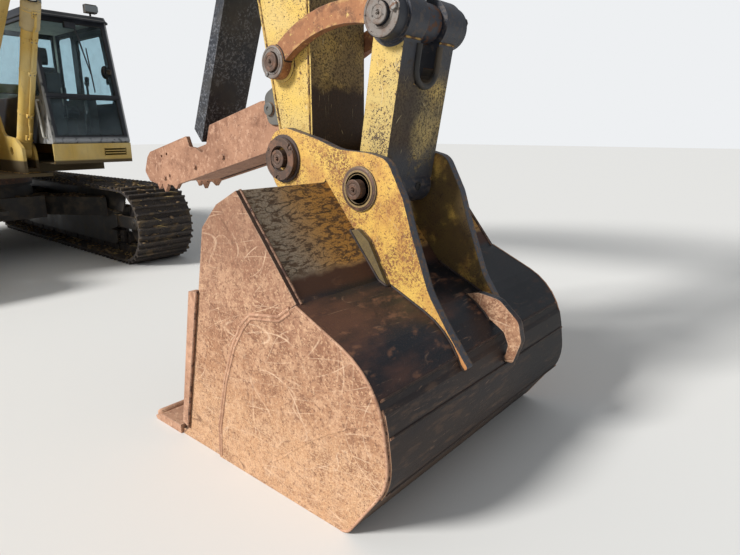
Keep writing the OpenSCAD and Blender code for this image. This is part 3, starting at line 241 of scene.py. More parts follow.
def enamel(name, colour, faded, dust="#9a8a70"):
    """Sprayed enamel on steel plate, chalked by the sun, chipped to rusty steel at its edges."""
    s = Surface(name, colour, 0.45)
    s.lay(s.patches(700, 0.40, 0.66, 3.0), faded, 0.55)
    s.lay([s.patches(90, 0.45, 0.75, 6.0, (1, 1, 0.35)), 0.3], dust, 0.7)
    wide = s.patches(420, 0.35, 0.70, 2.0)
    s.lay(s.patches(34, 0.70, 0.74, 8.0, rough=0.7, lean=wide, by=0.07), "#3b2417", 0.82, height=-1.0)
    s.lay([s.edges(5.0), s.patches(26, 0.42, 0.56, 4.0)], "#4a3122", 0.82, height=-1.0)
    s.lay(s.patches(9, 0.70, 0.76, 4.0, lean=wide, by=0.06), "#6b4326", 0.85)
    s.lay([s.patches(60, 0.58, 0.74, 5.0, (1, 1, 0.08)), 0.4], "#7b5331", 0.8)
    s.lay([s.facing(2, 0.55, 0.95), s.patches(900, 0.20, 0.80, 4.0), 0.45], dust, 0.85)
    s.lay([s.facing(2, 0.55, 0.95), s.patches(35, 0.45, 0.70, 7.0), 0.4], dust, 0.9)
    # dark brown below about 1.25 m, over the frame's lower plates under the deck: painted shade, with grime
    s.lay([s.placed(2, 1.262, 1.240), 0.9], "#3c332a", 0.85)
    return s.done(0.25, 2.0, 2.0)


def dark_enamel(name, colour="#1d1c1b", dust="#77664f", dust_most=0.6, wear_mm=5.0, bare="#5c4030",
                scoured=0.0):
    """Black enamel, dulled and dusty, worn to bare steel at the edges and, on a plate that rubs, all over."""
    s = Surface(name, colour, 0.5)
    s.lay(s.patches(260, 0.40, 0.70), "#35312d", 0.62)
    s.lay([s.edges(wear_mm), s.patches(30, 0.35, 0.55)], bare, 0.75)
    s.lay(s.patches(30, 0.66, 0.72, 7.0), "#4e2f1e", 0.85, height=-1.0)
    s.lay([s.patches(120, 0.42, 0.70, 6.0), dust_most * 0.6], dust, 0.9)
    s.lay([s.facing(2, 0.4, 0.95), dust_most], dust, 0.92)
    if scoured:
        s.lay([s.patches(16, 0.51, 0.58, 8.0, rough=0.7), s.patches(200, 0.36, 0.56), scoured],
              "#84868c", 0.6)
        s.lay([s.patches(40, 0.58, 0.68, 7.0), scoured], "#6b6a6a", 0.6)
    return s.done(0.3, 2.5, 2.0)


def cab_enamel(name):
    """The cab's blue-black enamel, chalked to grey-white along the sill and the front posts' outer edges."""
    s = Surface(name, "#15181f", 0.42)
    s.lay(s.patches(260, 0.42, 0.72), "#262a33", 0.55)
    front = s.placed(0, SLEWING.x + 0.96, SLEWING.x + 1.02)
    rim = s.placed(2, 1.535, 1.505, 8, 40)
    s.lay([front, rim, s.patches(60, 0.30, 0.50, 6.0)], "#9a9da0", 0.7)
    s.lay([front, s.placed(1, 1.466, 1.474), s.facing(0, 0.6, 0.9), s.patches(45, 0.28, 0.44, 6.0)],
          "#9c9ea0", 0.7)
    s.lay([front, s.placed(1, 0.578, 0.562), s.patches(45, 0.36, 0.50, 7.0, (1, 1, 0.4))], "#8b8a86", 0.7)
    s.lay(s.patches(26, 0.67, 0.72, 7.0), "#5b4232", 0.85, height=-1.0)
    s.lay([s.edges(5.0), s.patches(40, 0.50, 0.62)], "#7b7c7e", 0.7)
    s.lay([s.facing(2, 0.5, 0.95), 0.45], "#6d6a62", 0.9)
    return s.done(0.25, 2.5, 2.0)


def rusted_plate(name, colour="#bd9174", dark="#80573f", pale="#d8b292", edge="#9c8474", trace=None,
                 greased=()):
    """Hot-rolled plate with its paint gone: even orange-brown rust, scoured by soil in fine scratches. Where
    there is a trace of the old paint, it clings to the upper edges."""
    s = Surface(name, colour, 0.78)
    s.lay([s.patches(420, 0.38, 0.66, 6.0), 0.5], dark)
    s.lay([s.patches(90, 0.48, 0.64, 9.0, rough=0.72), 0.75], dark)
    s.lay([s.patches(30, 0.52, 0.64, 8.0, rough=0.72), 0.6], pale)
    if trace:
        s.lay([s.edges(26, 0.01, 0.10), s.facing(2, -0.2, 0.2), s.patches(30, 0.48, 0.54, 7.0)], trace, 0.6)
        s.lay([s.patches(24, 0.64, 0.67, 7.0), 0.9], trace, 0.6)
    s.lay(s.patches(11, 0.60, 0.70, 5.0), "#5f402f", height=-0.6)
    s.lay([s.patches(15, 0.60, 0.68, 5.0), 0.6], colour, height=0.4)
    s.lay([s.hairlines(240, 0.03, 0.003, (0.25, 1, 1), (0, 0.5, 0)), s.patches(90, 0.50, 0.66), 0.4],
          pale, 0.6)
    s.lay([s.edges(7.0), 0.7], edge, 0.5)
    for pin, radius in greased:
        s.lay(s.near(pin, radius + 4, radius), "#2b2d34", 0.45)
    return s.done(0.5, 3.0, 3.0)


def chrome_rod(name, eyes, eye_mm, eye_colour="#b98f42"):
    """Hard chrome on a ground rod, bright under a film of oil. Its forged eye has old enamel worn to rust."""
    s = Surface(name, "#c9c8c6", 0.14, 1.0)
    s.lay(s.patches(60, 0.55, 0.8, 5.0, (1, 1, 0.3)), "#8f8a80", 0.35)
    for eye in eyes:
        forged = s.near(eye, eye_mm + 6, eye_mm + 2)
        s.lay(forged, eye_colour, 0.5, 0.0)
        s.lay([forged, s.patches(30, 0.50, 0.58, 7.0)], "#5a3a25", 0.8, 0.0)
        s.lay([s.near(eye, 62, 56), s.sideways()], "#5b4a3d", 0.5, 0.3)
    return s.done(0.03, 4.0)


def pin_steel(name, colour="#5d4a3f", rust="#7a553f", bright="#9a8a7a"):
    """Turned steel pins and their rings: dark, greasy, rusty where no grease reaches."""
    s = Surface(name, colour, 0.5, 0.4)
    s.lay([s.patches(45, 0.45, 0.65, 6.0), 0.8], rust, 0.75, 0.0)
    s.lay(s.patches(14, 0.60, 0.68, 4.0), "#2b211b", 0.6, 0.2)
    s.lay([s.edges(3.0), 0.7], bright, 0.4, 0.6)
    return s.done(0.25, 1.5, 1.5)


def zinc_bolt(name):
    """Zinc-plated bolts, gone dull and grey with brown in their corners."""
    s = Surface(name, "#8b8782", 0.45, 0.8)
    s.lay(s.patches(18, 0.50, 0.62, 5.0), "#6b4c38", 0.8, 0.0)
    return s.done(0.1, 1.5, 1.0)


def weld_bead(name, colour, rust, share=0.5, shadow_inside=False):
    """Arc-welded beads under the same coat as the plates beside them, with rust in the ripples."""
    s = Surface(name, colour, 0.6)
    s.lay(s.patches(40, 0.62 - 0.25 * share, 0.72 - 0.25 * share, 6.0), rust, 0.8)
    s.lay([s.patches(9, 0.5, 0.6), 0.5], "#3a2a20", 0.8)
    # within 770 mm of the centre plane the beads are laid near-black: painted shadow lines along the seams
    # and in the corners
    if shadow_inside:
        s.lay([s.aside(790, 770), 0.9], "#1d1614", 0.7)
    return s.done(0.4, 2.0)


def track_steel(name):
    """Cast and rolled track parts: brown rust, bright where they run, with dry earth in patches."""
    s = Surface(name, "#39312c", 0.75)
    s.lay(s.patches(60, 0.42, 0.66, 6.0), "#282321")
    s.lay(s.edges(7.0, 0.10, 0.45), "#756a61", 0.45, 0.4)
    s.lay([s.patches(130, 0.52, 0.66, 7.0), 0.7], "#6b5a42", 0.95, 0.0, 0.8)
    s.lay(s.patches(16, 0.63, 0.71, 4.0), "#8a7556", 0.95, 0.0, 0.8)
    return s.done(0.8, 6.0, 2.0)


def dull_plastic(name, colour, dust="#5b5650"):
    """Moulded ABS, matt from its grained mould, greyed by dust."""
    s = Surface(name, colour, 0.6)
    s.lay([s.patches(150, 0.40, 0.75), 0.5], dust, 0.75)
    s.lay([s.facing(2, 0.5, 0.95), 0.4], dust, 0.85)
    return s.done(0.12, 1.2, 1.5)


def rubber(name):
    """Black rubber of seals, mats, gaiters and wipers, greyed by weather."""
    s = Surface(name, "#1b1a19", 0.7)
    s.lay(s.patches(80, 0.45, 0.7), "#393632", 0.8)
    return s.done(0.15, 1.5)


def dusty_glass(name):
    """Toughened glass with a thin film of dust, thicker at the lower rim."""
    s = Surface(name, "#dfe6e3", 0.04)
    film = s.patches(160, 0.35, 0.75, 6.0)
    low = s.placed(2, 1.9, 1.5, 150)
    share = add(s.tree, "ShaderNodeMath", {0: film, 1: 0.07, 2: 0.02}, operation="MULTIPLY_ADD")
    share = add(s.tree, "ShaderNodeMath", {0: low, 1: 0.10, 2: share}, operation="MULTIPLY_ADD")
    clear = add(s.tree, "ShaderNodeBsdfPrincipled", {
        "Base Color": linear("#cfe2e8"), "Roughness": 0.02, "Transmission Weight": 1.0, "IOR": 1.08})
    dull = add(s.tree, "ShaderNodeBsdfPrincipled", {"Base Color": linear("#8f9aa0"), "Roughness": 0.8})
    both = add(s.tree, "ShaderNodeMixShader", {0: share, 1: clear, 2: dull})
    add(s.tree, "ShaderNodeOutputMaterial", {0: both})
    return s.material


def lamp_glass(name):
    """A lamp's pressed glass over its bright reflector."""
    s = Surface(name, "#7e8486", 0.12, 0.3)
    s.lay([s.hairlines(30, 0.05, 0.02), 0.5], "#8f9698", 0.3)
    return s.done(0.2, 5.0)


def seat_cloth(name):
    """Woven polyester upholstery, drawn at 4 mm to a thread so that the weave still shows, faded in patches.
    """
    s = Surface(name, "#26272b", 0.9)
    for turn in ((0, 0, 0), (0, 0, math.pi / 2), (math.pi / 2, 0, 0)):
        place = add(s.tree, "ShaderNodeMapping", {"Vector": s.place, "Rotation": turn})
        thread = add(s.tree, "ShaderNodeTexWave", {"Vector": place, "Scale": 1.0 / (4 * MM * 6.28)})
        s.lay([thread.outputs["Fac"], 0.3], "#4a4a50", height=0.3)
    s.lay([s.patches(180, 0.45, 0.75), 0.7], "#55534f")
    return s.done(0.3, 1.5, Sheen_Weight=0.2)


def dry_earth(name):
    """Dry loam and clay that fell from the tracks."""
    s = Surface(name, "#6b5740", 0.97)
    s.lay(s.patches(30, 0.45, 0.65, 6.0), "#877250")
    s.lay(s.patches(9, 0.56, 0.68, 4.0), "#463627", height=-1.0)
    return s.done(1.5, 5.0)


def dry_straw(name):
    """Dead grass and straw: pale, dull and split lengthways."""
    s = Surface(name, "#b39a63", 0.85)
    s.lay(s.patches(40, 0.45, 0.65), "#8a7444")
    return s.done(0.1, 1.0)


def bucket_plate(name):
    """The bucket's welded plates. The side plates are bare orange rust scoured by soil. The panel under the
    ears keeps worn paint, and the curved shell below it is burnished brown to blue-black, the blue-black and
    the near-black on its far half being painted sky reflection and shade."""
    s = Surface(name, "#a27a60", 0.76)
    shell = s.sideways(0.8, 0.6)
    # side plates
    s.lay([s.patches(460, 0.36, 0.68, 6.0), 0.8], "#8d6047")
    s.lay([s.placed(2, 0.95, 0.15, 120, 400), 0.8], "#b98c66")
    s.lay([s.patches(150, 0.46, 0.62, 9.0, rough=0.75), 0.7], "#7b523b")
    s.lay([s.patches(60, 0.46, 0.60, 9.0, rough=0.75), 0.6], "#c79f7e")
    s.lay([s.patches(22, 0.50, 0.62, 8.0, rough=0.75), 0.75], "#6f4b38")
    s.lay([s.patches(13, 0.54, 0.64, 6.0), 0.6], "#d2ab86", height=0.3)
    s.lay(s.patches(6, 0.58, 0.68, 5.0), "#553a2c", height=-0.6)
    s.lay([s.placed(2, 0.85, 1.20, 60, 200), 0.5], "#83604c")
    s.lay([s.placed(2, 0.50, 0.30, 60, 160), s.patches(5, 0.46, 0.60, 3.0), 0.5], "#dab48c", height=0.4)
    broken = s.patches(150, 0.44, 0.62, 5.0)
    for size, spacing, width, stretch, turn, share in (
            (620, 0.030, 0.0020, (0.40, 1, 1), 0.35, 0.60), (480, 0.040, 0.0026, (1, 1, 0.4), 0.9, 0.40),
            (700, 0.026, 0.0018, (0.3, 1, 1), -0.45, 0.55), (260, 0.050, 0.0036, (0.2, 1, 1), -0.20, 0.40)):
        s.lay([s.hairlines(size, spacing, width, stretch, (0, turn, 0)), broken, share], "#e0bf9f", 0.6)
    s.lay([s.hairlines(400, 0.05, 0.004, (0.4, 1, 1), (0, 1.3, 0)), s.patches(90, 0.46, 0.60), 0.6],
          "#5b3c2c", height=-0.5)
    # curved shell, from the floor up: scoured plate below the step, burnished above it
    s.lay(shell, "#3b312c", 0.55)
    s.lay([shell, s.patches(200, 0.42, 0.64, 7.0, (1, 0.25, 1)), 0.8], "#292324", 0.5)
    s.lay([shell, s.patches(30, 0.50, 0.66, 7.0, (1, 0.2, 1)), 0.6], "#665040", 0.6)
    upper = s.placed(2, 0.640, 0.655)
    s.lay([shell, upper], "#54382e", 0.42)
    # blue-black patches crowding toward the far side: painted sky reflection and shade on the burnished steel
    s.lay([shell, upper, s.patches(260, 0.36, 0.60, 5.0, (1, 0.4, 1), lean=s.placed(1, -0.5, 0.5), by=0.12)],
          "#181a20", 0.34)
    s.lay([shell, upper, s.patches(60, 0.56, 0.70, 7.0, (1, 0.5, 1)), 0.5], "#8a6047", 0.6)
    s.lay([shell, s.hairlines(120, 0.05, 0.006, (1, 0.10, 1)), s.patches(60, 0.50, 0.64), 0.4],
          "#a38269", 0.45)
    s.lay([shell, s.hairlines(90, 0.06, 0.008, (0.15, 1, 0.4), (0, 0, 0.3)), s.patches(80, 0.5, 0.66), 0.5],
          "#221c1a", 0.6)
    s.lay([shell, s.placed(2, 0.24, 0.12, 40), 0.6], "#75604f", 0.75)
    # panel under the ears, with a painted shade band where it meets the shell, and the dark top edge of each
    # side plate
    panel = s.placed(2, 1.00, 1.035, 25, 90)
    s.lay([shell, s.placed(2, 0.93, 0.96, 10), 0.85], "#4a2f22", 0.7)
    s.lay([shell, panel], "#8d7f6d", 0.62)
    s.lay([shell, panel, s.placed(1, -0.72, -0.42, 110, 200), 0.9], "#b3823a", 0.6)
    s.lay([shell, panel, s.patches(20, 0.50, 0.55, 8.0, (1, 0.35, 1), (0.5, 0.3, 0.7), 0.75), 0.9],
          "#4d3a2b", 0.8, height=-0.8)
    s.lay([shell, panel, s.patches(6, 0.52, 0.58, 5.0, rough=0.7), 0.6], "#4a3626", 0.8)
    s.lay([shell, panel, s.hairlines(90, 0.05, 0.014, (1, 0.35, 1), (0.6, 0.3, 0.6)),
           s.patches(60, 0.42, 0.55), 0.85], "#2d241d", 0.7)
    s.lay([shell, s.placed(2, 0.93, 0.97), s.aside(776, 784), 0.9], "#3c281f", 0.7)
    s.lay([s.edges(11.0), s.patches(40, 0.35, 0.55), 0.8], "#b59a84", 0.55)
    # near-black over the shell's far half below 0.9 m: painted shade
    s.lay([shell, s.placed(2, 0.95, 0.90), s.placed(1, 0.0, 0.6, 90, 160), 0.7], "#0c0d11", 0.55)
    return s.done(0.6, 3.0, 3.0, Specular_IOR_Level=0.3)


def worn_linkage(name, colour, faded, speck, fleck, front="#5a4a38", front_share=0.8,
                 cut_edge=None, dark_at=(), grime_and_shade=None, cluster=0.09, slot=False):
    """Yellow enamel on flame-cut plate, eaten by dense rust specks, with grime and painted shade on the faces
    that look ahead.
    Bosses that run in grease are blue-black, and a plate's cut edges are bare steel."""
    s = Surface(name, colour, 0.52)
    s.lay(s.patches(300, 0.40, 0.65), faded)
    wide = s.patches(170, 0.38, 0.66, 4.0)
    s.lay([s.patches(60, 0.48, 0.72, 7.0), 0.5], "#a8803c", 0.62)
    ahead = s.facing(0, 0.45, 0.85)
    # faces that look ahead take a darker colour, and a darker one still where masks are given for them:
    # painted shade, with grime
    s.lay([ahead, s.patches(330, 0.30, 0.60, 5.0), front_share], front, 0.7)
    if grime_and_shade:
        s.lay([ahead, *grime_and_shade(s)], "#3a2d25", 0.75)
    s.lay(s.patches(30, speck + 0.03, speck + 0.07, 8.0, rough=0.72, lean=wide, by=cluster),
          fleck, 0.8, height=-0.8)
    s.lay(s.patches(9, speck - 0.02, speck + 0.03, 5.0, rough=0.65, lean=wide, by=cluster),
          fleck, 0.82, height=-0.4)
    s.lay([s.patches(5, speck - 0.02, speck + 0.04, 3.0, lean=wide, by=cluster), 0.6], "#3f2a1c", 0.82)
    s.lay([ahead, s.patches(12, 0.50, 0.57, 5.0, rough=0.7), 0.8], "#33261d", 0.8)
    s.lay([s.hairlines(160, 0.05, 0.005, (1, 1, 0.3), (0, 0.4, 0)), s.patches(60, 0.52, 0.64), 0.5],
          "#dcca98", 0.5)
    if cut_edge:
        s.lay([s.patches(130, 0.44, 0.62, 8.0, rough=0.7), 0.55], "#ad773f", 0.7)
        s.lay([s.sideways(0.8, 0.5), 0.95], cut_edge, 0.5, 0.3)
        s.lay([s.sideways(0.8, 0.5), s.patches(22, 0.50, 0.60, 7.0)], "#6d5643", 0.7, 0.0)
        s.lay([s.placed(2, 0.86, 0.64, 60, 80), s.sideways(0.5, 0.8), 0.85], "#b5794a", 0.75)
        # olive-dark over the gussets outside the ears, below 1.14 m: painted shade
        s.lay([s.aside(267, 270), s.placed(2, 1.17, 1.14), 0.9], "#5a4f32", 0.7)
        s.lay([s.aside(267, 270), s.near(BUCKET_PIN, 126, 122)], "#53423a", 0.6)
        s.lay([s.aside(267, 270), s.near(LINK_PIN, 110, 106), 0.8], "#7c6a4c", 0.6)
        # dark over the faces between the ears: painted shade
        s.lay([s.aside(222, 218), s.patches(150, 0.30, 0.52, 7.0), 0.85], "#3a3122", 0.7)
    if slot:
        # dark blue-black over the slot's inner faces round the rod pin: painted shade in the slot
        s.lay([s.aside(80, 75), s.near(ROD_PIN, 320, 300), s.facing(0, 0.9, 0.7)], "#23262e", 0.45)
    for pin, radius in dark_at:
        boss = s.near(pin, radius + 4, radius)
        s.lay([ahead, s.near(pin, 2.6 * radius, 1.4 * radius), s.patches(60, 0.30, 0.50, 7.0), 0.9],
              "#30333b", 0.5)
        s.lay(boss, "#272a33", 0.4)
        s.lay([boss, s.patches(26, 0.50, 0.60, 7.0)], "#4b4441", 0.6)
    s.lay([s.edges(6.0), s.patches(24, 0.36, 0.50)], cut_edge or "#5b5148", 0.5, 0.3)
    return s.done(0.35, 2.5, 2.5)


MATERIALS = {}

# Each finish, with the solids that it covers
FINISH = {node: finish for finish, nodes in {
    "yellow": "revolving_frame counterweight engine_housing engine_hood radiator_door pump_door tanks "
              "handrails boom boom_barrels arm_barrel bucket_barrel",
    "arm_yellow": "arm", "link_yellow": "bucket_link", "ear_yellow": "bucket_ears",
    "under": "car_body track_frames",
    "track": "track_left track_right track_wheels",
    "pins": "slew_ring upper_pins boom_pins arm_pins bucket_pins",
    "casting": "engine_block", "pipe": "boom_pipes",
    "black": "work_lamps", "brace_black": "thumb_brace",
    "navy": "cab_shell cab_roof cab_door",
    "glass": "door_glass cab_glass", "plastic": "cab_interior", "cloth": "seat_cushions",
    "boom_chrome": "boom_rods", "arm_chrome": "arm_rod", "bucket_chrome": "bucket_rod",
    "old_rust": "exhaust thumb_plates", "idler_rust": "idler_links", "rust": "bucket_cutters",
    "bucket": "bucket_shell",
}.items() for node in nodes.split()}


def make_materials():
    """Every finish, by its key in the tables above."""
    paint = bpy.context.scene.excavator_looks
    eye_of = lambda barrel, slide, length: [pin_place(barrel) + length * MM * Vector(JOINTS[slide]["axis"])]
    MATERIALS.update(
        yellow=enamel("Faded_yellow_enamel", paint.yellow, paint.faded),
        # the arm's faces that look ahead go dark brown below about 1.8 m: grime, and the painted shadow of
        # the link
        arm_yellow=worn_linkage("Scuffed_yellow_enamel", "#d3b056", "#cdb06a", 0.612, "#553b27", "#6b5a42",
                                0.8, cluster=0.045, grime_and_shade=lambda s: [s.placed(2, 1.86, 1.78, 70, 60)]),
        # the link's faces that look ahead are laid dark as painted shade, and darker still on the near half
        link_yellow=worn_linkage("Grimy_shaded_yellow_enamel", "#cfae5c", "#c2a865", 0.625, "#4d3d30",
                                 "#4a4538", 0.9, dark_at=[(ROD_PIN, 122), (LINK_PIN, 98)],
                                 grime_and_shade=lambda s: [s.placed(1, 0.02, -0.08, 90, 60), 0.8], slot=True),
        ear_yellow=worn_linkage("Rust_specked_yellow_enamel", "#dcb458", "#d3a450", 0.600, "#8d5f38",
                                "#5c4a33", 0.5, "#434954"),
        yellow_weld=weld_bead("Painted_weld_bead", "#b58f45", "#54371f", 0.7),
        rust_weld=weld_bead("Rusty_weld_bead", "#8f6950", "#4b2f21", shadow_inside=True),
        black=dark_enamel("Dull_black_enamel"),
        navy=cab_enamel("Blue_black_cab_enamel"),
        brace_black=dark_enamel("Worn_black_enamel", "#151922", "#6f6a64", 0.2, 8.0, "#7a7b80", 0.5),
        under=dark_enamel("Muddy_black_enamel", "#2a2725", "#6d5f4a", 0.7),
        rust=rusted_plate("Scoured_rusty_plate"),
        old_rust=rusted_plate("Dusty_rusty_plate", "#a87c60", "#744c36", "#cca386", "#8d7566"),
        idler_rust=rusted_plate("Orange_rusty_plate", "#9f6a44", "#6a432c", "#bd8b60", "#7d6657", "#cfae60",
                                [(ROD_PIN, 104)]),
        bucket=bucket_plate("Bucket_wear_plate"),
        boom_chrome=chrome_rod("Boom_rod_chrome", eye_of("boom_barrel_pivot", "boom_rod_slide", 2965.1), 95),
        arm_chrome=chrome_rod("Arm_rod_chrome", eye_of("arm_barrel_pivot", "arm_rod_slide", 3743.4), 100),
        bucket_chrome=chrome_rod("Bucket_rod_chrome", [ROD_PIN], 88, "#2f323a"),
        pins=pin_steel("Greasy_turned_steel"),
        boss=pin_steel("Scoured_boss_steel", "#7d756e", "#6b5547", "#a39c94"),
        zinc=zinc_bolt("Dull_zinc_plate"),
        pipe=dark_enamel("Black_pipe_enamel", "#22211f", "#6d5f4a", 0.4, 3.0),
        casting=dark_enamel("Grey_cast_iron", "#5d5c58", "#7a6d58", 0.5, 4.0),
        track=track_steel("Earthy_track_steel"),
        plastic=dull_plastic("Moulded_dark_plastic", "#232325"),
        pale=dull_plastic("Moulded_pale_plastic", "#c9c6bb", "#9a9488"),
        wrap=dull_plastic("Wound_tape", "#bda97c", "#8c7a58"),
        red=dull_plastic("Moulded_red_plastic", "#8f2118", "#6b4a40"),
        rubber=rubber("Weathered_rubber"),
        glass=dusty_glass("Dusty_toughened_glass"),
        lens=lamp_glass("Pressed_lamp_glass"),
        cloth=seat_cloth("Woven_seat_cloth"),
        earth=dry_earth("Dry_loam"),
        straw=dry_straw("Dry_straw"),
    )


# Making meshes

def new_object(name, data):
    """An object in the scene, at the origin."""
    obj = bpy.data.objects.new(name, data)
    bpy.context.scene.collection.objects.link(obj)
    return obj


def mesh_from(work, name):
    """A plain mesh from a bmesh, which is freed."""
    mesh = bpy.data.meshes.new(name)
    work.to_mesh(mesh)
    work.free()
    return mesh


def baked(obj):
    """What an object's modifiers make of it, as a plain mesh."""
    return bpy.data.meshes.new_from_object(obj.evaluated_get(bpy.context.evaluated_depsgraph_get()))


def finish_object(name, mesh, body, material):
    """A finished piece at the origin, riding on its body."""
    piece = new_object(name, mesh)
    mesh.materials.clear()
    mesh.materials.append(MATERIALS[material])
    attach(piece, body)
    return piece


class Work:
    """A mesh in the making, in millimetres in the frame of one part of the machine."""

    def __init__(self, place=MACHINE):
        self.place = place
        self.mesh = bmesh.new()

    def points(self, places):
        """New corners, from the part's own millimetres."""
        return [self.mesh.verts.new(self.place @ Vector(p)) for p in places]

    def hull(self, places):
        """The tight skin round some points."""
        made = bmesh.ops.convex_hull(self.mesh, input=self.points(places))
        spare = [v for v in made["geom_interior"] + made["geom_unused"] if isinstance(v, bmesh.types.BMVert)]
        bmesh.ops.delete(self.mesh, geom=list(set(spare)), context="VERTS")

    def box(self, x, y, z, chamfer=3.0):
        """A block with broken edges."""
        corners = []
        for signs in itertools.product((0, 1), repeat=3):
            for full in range(3):
                corners.append([span[s] + (0 if axis == full else chamfer * (1 - 2 * s))
                                for axis, (span, s) in enumerate(zip((x, y, z), signs))])
        self.hull(corners)

    def plate(self, outline, y, chamfer=2.0):
        """A plate cut to an outline of [x, z] points, with its edges broken."""
        count = len(outline)
        inner = inset(outline, chamfer)
        rings = [self.points([(p[0], side, p[1]) for p in line]) for line, side in (
            (inner, y[0]), (outline, y[0] + chamfer), (outline, y[1] - chamfer), (inner, y[1]))]
        self.mesh.faces.new(rings[0])
        self.mesh.faces.new(rings[-1][::-1])
        self.skin(rings, count)

    def skin(self, rings, count):
        """Faces between rings of corners. A ring of one corner is a pole."""
        for a, b in zip(rings, rings[1:]):
            for i in range(count):
                j = (i + 1) % count
                if len(a) == 1:
                    self.mesh.faces.new([a[0], b[j], b[i]])
                elif len(b) == 1:
                    self.mesh.faces.new([a[i], a[j], b[0]])
                else:
                    self.mesh.faces.new([a[i], a[j], b[j], b[i]])

    def lathe(self, rows, at, axis, steps=24, turn=0.0):
        """A turned shape about an axis. Its rows are [place along it, radius] from one end to the other. A
        row of radius 0 is a pole, and other ends are closed flat."""
        axis = Vector(axis).normalized()
        side = axis.orthogonal() if abs(axis.y) < 0.9 else Vector((1, 0, 0))
        up = axis.cross(side).normalized()
        side = up.cross(axis).normalized()
        rings = []
        for along, radius in rows:
            if radius == 0:
                rings.append(self.points([Vector(at) + axis * along]))
            else:
                rings.append(self.points([
                    Vector(at) + axis * along + radius * (side * math.cos(a) + up * math.sin(a))
                    for a in (2 * math.pi * (i / steps) + math.radians(turn) for i in range(steps))]))
        for ring in (rings[0], rings[-1]):
            if len(ring) > 1:
                self.mesh.faces.new(ring)
        self.skin(rings, steps)

    def done(self, name, body=None, material=None, sharp=35):
        """The finished piece, or the bare mesh where no body is given. Corners over sharp degrees stay."""
        bmesh.ops.recalc_face_normals(self.mesh, faces=self.mesh.faces)
        mesh = mesh_from(self.mesh, name)
        mesh.shade_smooth()
        mesh.set_sharp_from_angle(angle=math.radians(sharp))
        return finish_object(name, mesh, body, material) if body else mesh


def inset(outline, by):
    """A closed outline moved inward by a distance."""
    turning = sum(a[0] * b[1] - b[0] * a[1] for a, b in zip(outline, outline[1:] + outline[:1]))
    moved = []
    for before, here, after in zip(outline[-1:] + outline[:-1], outline, outline[1:] + outline[:1]):
        a = Vector((here[0] - before[0], here[1] - before[1])).normalized()
        b = Vector((after[0] - here[0], after[1] - here[1])).normalized()
        inward = Vector((-a.y - b.y, a.x + b.x)) * math.copysign(1, turning)
        moved.append(Vector(here[:2]) + inward * by / max(0.3, 1 + a.dot(b)))
    return [tuple(p) for p in moved]


def rounded(outline, steps=4):
    """A closed outline from rows of [x, z, corner radius]."""
    line = []
    for before, here, after in zip(outline[-1:] + outline[:-1], outline, outline[1:] + outline[:1]):
        p = Vector(here[:2])
        a, b = Vector(before[:2]) - p, Vector(after[:2]) - p
        half = a.angle(b) / 2
        cut = min(here[2] / math.tan(half), a.length * 0.49, b.length * 0.49) if here[2] else 0
        if not cut:
            line.append(tuple(p))
            continue
        a, b = p + a.normalized() * cut, p + b.normalized() * cut
        for i in range(steps + 1):
            t = i / steps
            line.append(tuple(a * (1 - t) ** 2 + 2 * p * t * (1 - t) * 0.9 + b * t ** 2
                              + (a + b) / 2 * 2 * t * (1 - t) * 0.1))
    return line


def bent(path, radius, steps=5):
    """An open line through points, with its corners rounded."""
    path = [Vector(p) for p in path]
    line = [path[0]]
    for before, here, after in zip(path, path[1:], path[2:]):
        cut = min(radius, (here - before).length * 0.49, (after - here).length * 0.49)
        a, b = here + (before - here).normalized() * cut, here + (after - here).normalized() * cut
        line += [a.lerp(here, i / steps).lerp(here.lerp(b, i / steps), i / steps) for i in range(steps + 1)]
    return line + [path[-1]]


# Trees of geometry nodes for what repeats or follows a path

def new_tree(name, sockets):
    """A tree with its mesh, its sizes and its material as inputs. Gives it and its input node's outputs."""
    tree = bpy.data.node_groups.new(name, "GeometryNodeTree")
    tree.interface.new_socket("Geometry", in_out="INPUT", socket_type="NodeSocketGeometry")
    for label, kind, value in sockets + [("Material", "Material", None)]:
        socket = tree.interface.new_socket(label, in_out="INPUT", socket_type="NodeSocket" + kind)
        if value is not None:
            socket.default_value = value
    tree.interface.new_socket("Geometry", in_out="OUTPUT", socket_type="NodeSocketGeometry")
    return tree, add(tree, "NodeGroupInput").outputs


def close_tree(tree, given, geometry):
    """Ends a tree in real, painted meshes."""
    real = add(tree, "GeometryNodeRealizeInstances", {0: geometry})
    painted = add(tree, "GeometryNodeSetMaterial", {"Geometry": real, "Material": given["Material"]})
    add(tree, "NodeGroupOutput", {0: painted})
    return tree


def bead_tree():
    """A weld bead along the edges of a mesh: its radius swells and falls with each ripple."""
    tree, given = new_tree("Weld_bead", [
        ("Radius", "Float", 0.007), ("Pitch", "Float", 0.008), ("Ripple", "Float", 0.25), ("Sides", "Int", 6),
        ("Seed", "Int", 1)])
    curve = add(tree, "GeometryNodeMeshToCurve", {"Mesh": given["Geometry"]})
    even = add(tree, "GeometryNodeResampleCurve", {"Curve": curve, "Length": given["Pitch"]}, mode="LENGTH")
    index = add(tree, "GeometryNodeInputIndex")
    odd = add(tree, "ShaderNodeMath", {0: index, 1: 2.0}, operation="MODULO")
    chance = add(tree, "FunctionNodeRandomValue", {"Seed": given["Seed"]}, data_type="FLOAT")
    both = add(tree, "ShaderNodeMath", {0: odd, 1: chance.outputs[1]}, operation="ADD")
    fall = add(tree, "ShaderNodeMath", {0: both, 1: given["Ripple"]}, operation="MULTIPLY")
    width = add(tree, "ShaderNodeMath", {0: 1.1, 1: fall}, operation="SUBTRACT")
    swelled = add(tree, "GeometryNodeSetCurveRadius", {"Curve": even, "Radius": width})
    return close_tree(tree, given, tube_along(tree, given, swelled))


